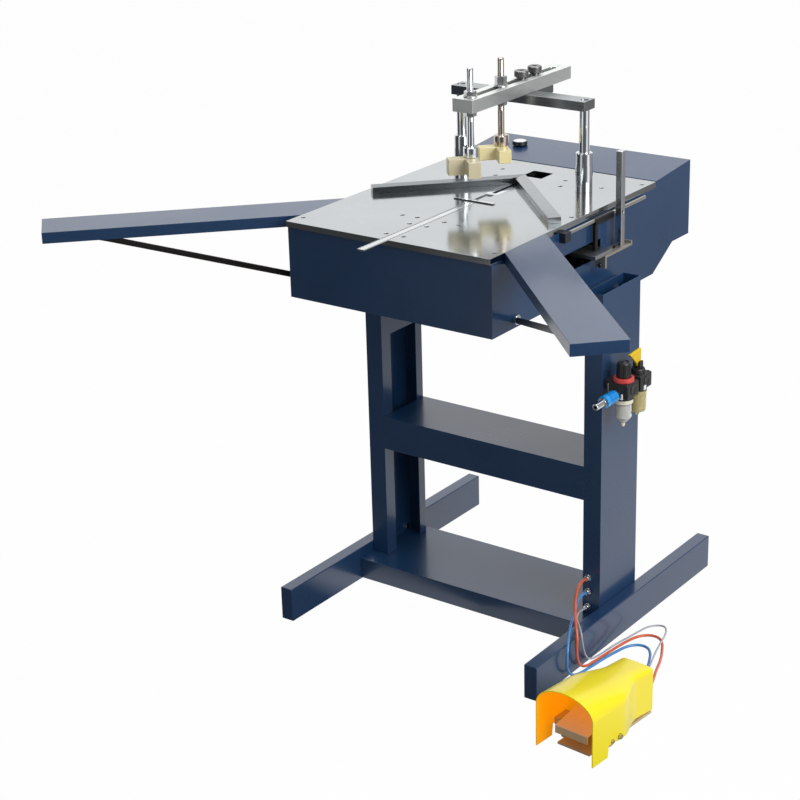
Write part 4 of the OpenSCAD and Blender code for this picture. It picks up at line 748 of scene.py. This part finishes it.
# Bowls hang from the bodies: middle, sides, finish, and rings counted downwards
bowlParts = {
    "filterBowl": (filterY, 56, "bowl_plastic",
                   [(0.1, 18.6), (0.6, 19), (8.6, 19), (9.4, 18.2), (9.8, 17.2), (33, 16.6), (38, 17.4),
                    (40, 17.2), (50.4, 8.4), (52, 6.4)]),
    "filterDrain": (filterY, 32, "milkPlastic", [(51, 4.6), (54, 4.6), (54.4, 4), (58, 4), (58.6, 3.4),
                                                 (61, 3.2), (61, 1.6), (58, 1.4)]),
    "filterElement": (filterY, 40, "milkPlastic", [(12, 8), (13, 11.5), (16, 11.5), (16.4, 9.2), (30, 9.2),
                                                   (30.6, 12.6), (32, 12.6), (32.6, 4), (38, 3.4)]),
    "filterCollar": (filterY, 56, "milkPlastic", [(0.2, 19.1), (1, 20), (8, 20), (8.8, 19.1)]),
    "oilBowl": (oilY, 56, "amberPlastic",
                [(0.1, 18.6), (0.6, 19), (6.2, 19), (7, 18.4), (41, 17.6), (44.6, 16.4), (46, 13.6)]),
    "oilFill": (oilY, 56, "lubricatingOil", [(12, 15.9), (40, 15.5), (42.6, 14.2), (43.4, 12)]),
    "oilTube": (oilY, 24, "milkPlastic", [(11.6, 2.2), (40, 2.2), (41, 3.4), (42.4, 3.4)]),
    "oilPlug": (oilY, 32, "amberPlastic", [(45, 5), (46.6, 5.4), (50, 4.8), (53, 4.2), (55, 3.2)]),
}
bowlInsides = {"filterBowl": [(-1, 16.6), (9, 16.6), (10, 15.4), (34, 14.8), (39.5, 14.4), (48, 6.4)],
               "oilBowl": [(-1, 16.6), (7, 16.6), (40, 15.8), (43, 14.4), (43.8, 12)]}
for name, (y, sides, finish, rings) in bowlParts.items():
    part, pleated = turned(name, rings, sides, name == "filterCollar"), name == "filterElement"
    if name in bowlInsides:
        cutBy(part, turned("inside", bowlInsides[name], sides))
    if pleated:
        groovedRound(part, 18, 29, sides, 0.2, 0.8)
    softEdges(setAt(part, (unitX, y, unitLow), "-Z"), 0.15 if pleated else 0, 1)
    fitted(part, "stand", "bowl_plastic", ["air_bowls"] if name == "filterBowl" else (), finish)

refined("valve_lever", 1.6, 3)
for back in (26, 18, 10):  # grip ribs of the lever's head
    rib = block("valveLeverRib" + str(back), (unitX - 3.9, oilY - back - 1.2, 628),
                (unitX + 3.9, oilY - back + 1.2, 634.5))
    fitted(softEdges(rib, 0.6), "shutoff_lever", "yellow_plastic")

coupler = {"y": 317, "z": 567, "bore": (6, 89, 3.5), "sleeveY": 301, "ribs": 9, "pitch": 3.0,
           "nozzle": [(9, 8), (56.3, 8), (56.3, 9.4), (56.8, 9.8), (58.4, 9.8), (58.8, 9.4), (58.8, 7.4),
                      (60, 6.8), (86.8, 6.8), (88, 6)]}
nozzle = cutBy(hexagonal("coupler", 0, 10, 20, 1.0), turned("nozzle", coupler["nozzle"]), "UNION")
cutBy(nozzle, drill(*coupler["bore"]))
setAt(nozzle, (unitX, coupler["y"], coupler["z"]), "-Y")
fitted(softEdges(nozzle), "stand", "chrome", ["coupler"])
rings = [(0, 12), (1, 13), (5, 13)]
for count in range(coupler["ribs"]):
    level = 5 + coupler["pitch"] * count
    rings += [(level, 12.2), (level + 1.3, 12.2), (level + 1.3, 13), (level + coupler["pitch"], 13)]
rings += [(38.6, 13), (40, 11.8), (40, 8.05), (0, 8.05)]
sleeve = setAt(turned("couplerSleeve", rings, 56, True), (unitX, coupler["sleeveY"], coupler["z"]), "-Y")
fitted(softEdges(sleeve, 0.12, 1), "coupler_ring", "blue_sleeve", ["coupler_sleeve"])
unitClips = [((unitX - 25, filterY - 20, 566), (unitX - 22.5, filterY - 12, 584)),
             ((unitX - 25, filterY - 22, 553), (unitX - 19, filterY - 16, 559)),
             ((unitX + 5, filterY - 25, 556), (unitX + 12, filterY - 22.5, 568)),
             ((unitX + 19.5, oilY - 12, 556), (unitX + 22, oilY - 3, 566))]
clips = [softEdges(block("unitClips", low, high), 0.8) for low, high in unitClips]
fitted(joined("unitClips", clips), "stand", "bowl_plastic", (), "whitePlastic")
print("air unit made")

# Hose fittings: a chamfered hexagon, a nose with its release collar, and the thread inside the column
hoseFitting = {"x": 272, "y": 320, "heights": (140, 108, 72), "flats": 14,
               "nose": [(5.5, 5.5), (11, 5.5), (11.8, 4.9), (12.4, 4.2), (13.2, 4.2), (13.4, 5.2), (15.6, 5.2),
                        (16, 4.8), (16, 3.4), (15.4, 3.2)]}
thread = [(-8.5, 5)]
for level in range(-8, 0):
    thread += [(level, 5.5), (level + 0.5, 5.0)]
fitting = hexagonal("bulkheadFitting", 0, 6, hoseFitting["flats"], 0.8)
cutBy(fitting, turned("nose", hoseFitting["nose"], 40), "UNION")
cutBy(fitting, turned("thread", thread + [(0.5, 5.4)], 40), "UNION")
fittings = laidOut(fitting, [(hoseFitting["x"], hoseFitting["y"], z) for z in hoseFitting["heights"]], "-Y")
fitted(softEdges(joined("bulkheadFittings", fittings)), "stand", "chrome", ["bulkhead_fittings"])

# Guard of the foot valve: one sheet over the treadle, round in front, with a waist and a narrow square back
guard = {"x": 482, "front": -122, "turn": -5, "length": 242, "width": 135, "height": 137, "rear": 100,
         "side": 95, "wall": 3, "leg": 49, "legStep": 0.012, "legRows": 0.3, "raise": 25, "rearRaise": 6,
         "shoulder": 10, "rearWidth": 76, "waist": (95, 190), "squarer": 0.45, "across": 40, "along": 60,
         "hosePorts": (-15, 0, 15), "portHeight": 34, "portRadius": 5.8, "paintedGlowMiddle": 45}
bpy.ops.mesh.primitive_grid_add(x_subdivisions=guard["across"], y_subdivisions=guard["along"], size=2)
hood = bpy.context.object
hood.name = "pedalGuard"
legShare = guard["leg"] / guard["length"]


def askew(piece):  # the foot valve stands a little turned on the floor
    pivot = place(guard["x"], guard["front"], 0)
    piece.matrix_world = (Matrix.Translation(pivot) @ Matrix.Rotation(math.radians(guard["turn"]), 4, "Z")
                          @ Matrix.Translation(-pivot) @ piece.matrix_world)
    applyPlace(piece)
    return piece


def hoodShare(step):  # rows stand closer at the end of the front legs
    row = step * guard["along"]
    near = round(guard["along"] * legShare)
    behind = legShare + guard["legStep"]
    if row <= near:
        return legShare * row / near
    if row <= near + 1:
        return legShare + guard["legStep"] * (row - near)
    return behind + (1 - behind) * (row - near - 1) / (guard["along"] - near - 1)


def hoodHalf(along):  # half the width at a share of the length
    start, end = guard["waist"]
    narrow = max(0, min(1, (along * guard["length"] - start) / (end - start)))
    return (guard["width"] - (guard["width"] - guard["rearWidth"]) * narrow ** 2 * (3 - 2 * narrow)) / 2


def hoodPoint(across, along):  # across runs from -1 to 1 over the arch, along from 0 to 1
    half = hoodHalf(along)
    top = guard["height"] + (guard["rear"] - guard["height"]) * along
    side = guard["side"] + (guard["rear"] - guard["shoulder"] - guard["side"]) * along
    foot = 0 if along <= legShare + 0.0001 else (
        guard["raise"] + (guard["rearRaise"] - guard["raise"]) * (along - legShare) / (1 - legShare))
    if abs(across) > 1 - guard["legRows"]:
        share = (1 - abs(across)) / guard["legRows"]
        x, z = math.copysign(half, across), foot + (side - foot) * share
    else:
        angle = math.pi / 2 * (1 - abs(across) / (1 - guard["legRows"]))
        power = 1 - guard["squarer"] * along
        x = math.copysign(half * abs(math.cos(angle)) ** power, across)
        z = side + (top - side) * math.sin(angle) ** power
    return place(guard["x"] + x, guard["front"] + guard["length"] * along, z)


for vertex in hood.data.vertices:
    vertex.co = hoodPoint(vertex.co.x, hoodShare((vertex.co.y + 1) / 2))
rearEnd = place(0, guard["front"] + guard["length"], 0).y
startEditing(hood, "VERT")
outline = bmesh.from_edit_mesh(hood.data)
for vertex in outline.verts:
    vertex.select_set(abs(vertex.co.y - rearEnd) < 0.0001)
bmesh.update_edit_mesh(hood.data)
bpy.ops.mesh.edge_face_add()
stopEditing()
facesOutward(hood)
pickOnly(hood)
wall = hood.modifiers.new("wall", "SOLIDIFY")
wall.thickness, wall.offset, wall.use_even_offset = guard["wall"] / 1000, -1, True
bpy.ops.object.modifier_apply(modifier=wall.name)
for port in guard["hosePorts"]:
    portAt = (guard["x"] + port, guard["front"] + guard["length"] - 10, guard["portHeight"])
    cutBy(hood, setAt(drill(0, 20, guard["portRadius"], 32), portAt, "Y"))
fitted(softEdges(hood, 0.9, 3, smooth=44), "stand", "yellow_paint", ["pedal_guard"])
# the guard's inner faces get the painted glow, an emission standing in for light shining through the yellow
# wall
tinted(hood, "innerYellow", lambda middle, normal: (guard["x"] - middle.x) * normal.x
       + (guard["paintedGlowMiddle"] - middle.z) * normal.z > 4)
askew(hood)
baseLug = {"away": 58, "half": 10, "front": -72, "back": -22, "above": 22}
for side in (-1, 1):  # the lugs that carry the guard's bolts end above the floor
    middleX = guard["x"] + side * baseLug["away"]
    cutBy(rounded["pedal_base"], askew(block("underLug", (middleX - baseLug["half"], baseLug["front"], -1),
                                             (middleX + baseLug["half"], baseLug["back"], baseLug["above"]))))

# Bolts of the guard, with washers, and the treadle's hinge pin
guardBolt = {"away": 67.5, "z": 30, "sizes": {-59: 0.75, -35: 1}, "pin": (-38, 40, 66),
             "pinRings": [(0, 3.4), (0.6, 4), (75.4, 4), (76, 3.4)],
             "shank": [(-16, 2.3), (-15.4, 2.5), (1.3, 2.5)]}
pinAcross, pinY, pinZ = guardBolt["pin"]
guardBolts = [setAt(turned("hingePin", guardBolt["pinRings"], 32), (guard["x"] + pinAcross, pinY, pinZ), "X")]
for y, wide in guardBolt["sizes"].items():
    inner, outer = 5.6 * wide, 5.9 * wide
    washer = turned("washer", [(0, inner), (0.2, outer), (1.0, outer), (1.2, inner)], 32)
    head = hexagonal("head", 1.2, 5.3 * wide, 10 * wide, 0.6, ("end",))
    bolt = joined("guardBolt", [washer, head, turned("shank", guardBolt["shank"], 24)])
    for side, axis in ((-1, "-X"), (1, "X")):
        at = (guard["x"] + side * guardBolt["away"], y, guardBolt["z"])
        guardBolts.append(setAt(copied(bolt), at, axis))
    bpy.data.objects.remove(bolt)
askew(fitted(softEdges(joined("pedalBolts", guardBolts)), "stand", "chrome", ["pedal_bolts"], "brassPlate"))
print("foot valve made")

# Return springs of the clamp: a wire wound round each post
spring = {"low": 784, "high": 884, "radius": 12.4, "wire": 1.6, "turns": 8, "steps": 24, "wireSides": 8}
bpy.ops.mesh.primitive_circle_add(vertices=spring["wireSides"], radius=spring["wire"] / 1000,
                                  fill_type="NOTHING", location=(spring["radius"] / 1000, 0, 0),
                                  rotation=(math.pi / 2, 0, 0))
coil = bpy.context.object
applyPlace(coil)
pickOnly(coil)
wind = coil.modifiers.new("wind", "SCREW")
wind.angle, wind.iterations = 2 * math.pi, spring["turns"]
wind.screw_offset = (spring["high"] - spring["low"] - 2 * spring["wire"]) / spring["turns"] / 1000
wind.steps = wind.render_steps = spring["steps"]
bpy.ops.object.modifier_apply(modifier=wind.name)
startEditing(coil, "EDGE")
bpy.ops.mesh.select_non_manifold(extend=False)
bpy.ops.mesh.edge_face_add()
stopEditing()
facesOutward(coil)
springs = laidOut(coil, [(side * postSleeve["x"], postSleeve["y"], spring["low"] + spring["wire"])
                         for side in (-1, 1)])
springPiece = softEdges(joined("returnSprings", springs), smooth=60)
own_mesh(springPiece)
fitted(springPiece, "stand", "spring_steel", ["return_springs"])
print("springs wound")

# A node that is still shown as it is gets its finish too
for name, node in nodes.items():
    dress(node, finishes[finishOf.get(name, slotOf[name])])
print("finishes given")

# The studio: a pale floor, two soft lamps, and a room whose sides are brighter and darker for metal
studio = {"floor": 14.0, "floorTone": 0.45, "shownShare": 0.985, "roomStrength": 0.32, "cameraSide": -53,
          "sides": [(-165, 1.0), (-132, 1.0), (-112, 0.08), (-64, 0.06), (-56, 1.0), (-41, 1.0), (-28, 0.14),
                    (0, 0.12), (28, 0.14), (42, 1.0), (70, 1.0), (82, 0.15), (96, 0.4), (106, 0.4),
                    (116, 0.18), (136, 1.0), (180, 1.1)],
          "nearSides": [(-165, 1.0), (-132, 1.0), (-112, 0.08), (20, 0.1), (42, 0.8), (120, 0.85), (180, 1.0)],
          "nearTo": 1.2, "farFrom": 2.3}
white = (1, 1, 1, 1)


def roomTone(finish, where, sides):  # brightness by the compass direction
    turnShare = finish.add("TexGradient", {"gradient_type": "RADIAL"}, {"Vector": where}, 1)
    stops = []
    for away, bright in studio[sides]:
        stops.append((((studio["cameraSide"] + away) / 360 + 0.5) % 1, (bright, bright, bright, 1)))
    return finish.add("ValToRGB", {"stops": [(0, white)] + sorted(stops) + [(1, white)]}, {"Fac": turnShare})


def seenBy(finish, ray):
    return finish.add("LightPath", output="Is " + ray + " Ray")


def mixed(finish, factor, first, second):
    return finish.add("MixShader", None, {0: factor, 1: first, 2: second})


bpy.ops.mesh.primitive_plane_add(size=studio["floor"], location=(0, 0, -0.0005))
floor = bpy.context.object
floor.name = "studioFloor"
matt = Finish("studioFloor")
spot = matt.here()
reach = matt.add("VectorMath", {"operation": "LENGTH"}, {0: spot}, 1)
far = matt.range(reach, 0, 1, studio["nearTo"], studio["farFrom"])
tones = matt.blend(far, roomTone(matt, spot, "nearSides"), roomTone(matt, spot, "sides"))
matt.shade(Base_Color=(studio["floorTone"],) * 3 + (1,), Roughness=0.9, Specular_IOR_Level=0.0)
shownFloor = mixed(matt, seenBy(matt, "Camera") * studio["shownShare"], Wire(matt, matt.shader.outputs[0]),
                   matt.add("Emission", None, {"Color": white}))
shownFloor = mixed(matt, seenBy(matt, "Glossy"), shownFloor, matt.add("Emission", None, {"Color": tones}))
matt.feed(matt.tree.nodes["Material Output"].inputs[0], shownFloor)
dress(floor, matt.material)

world = bpy.data.worlds.new("studioWorld")
scene.world = world
world.use_nodes = True
sky = Finish("studioWorld", world.node_tree)
room = sky.tree.nodes["Background"]
sky.feed(room.inputs["Color"], white)
sky.feed(room.inputs["Strength"], studio["roomStrength"])
shown = sky.add("Background", None, {"Color": white, "Strength": 1.0})
direction = sky.add("TexCoord", output="Generated")
mirrored = sky.add("Background", None, {"Color": roomTone(sky, direction, "sides"), "Strength": 1.0})
plain = seenBy(sky, "Camera").maths("MAXIMUM", seenBy(sky, "Transmission"))
light = mixed(sky, plain, Wire(sky, room.outputs[0]), shown)
light = mixed(sky, seenBy(sky, "Glossy"), light, mirrored)
sky.feed(sky.tree.nodes["World Output"].inputs[0], light)

lamps = {
    "rightLamp": {"at": (3.2, -0.4, 2.4), "aim": (0, 0, 0.7), "size": 2.4, "power": 100},
    "topLamp": {"at": (-0.3, 0.6, 3.6), "aim": (0, 0, 0.8), "size": 2.6, "power": 50},
}
for name, facts in lamps.items():
    lampData = bpy.data.lights.new(name, "AREA")
    lampData.size, lampData.energy = facts["size"], facts["power"]
    lamp = bpy.data.objects.new(name, lampData)
    scene.collection.objects.link(lamp)
    lamp.location = facts["at"]
    lamp.rotation_euler = (Vector(facts["aim"]) - Vector(facts["at"])).to_track_quat("-Z", "Y").to_euler()
scene.view_settings.view_transform = "Standard"
print("studio lit")
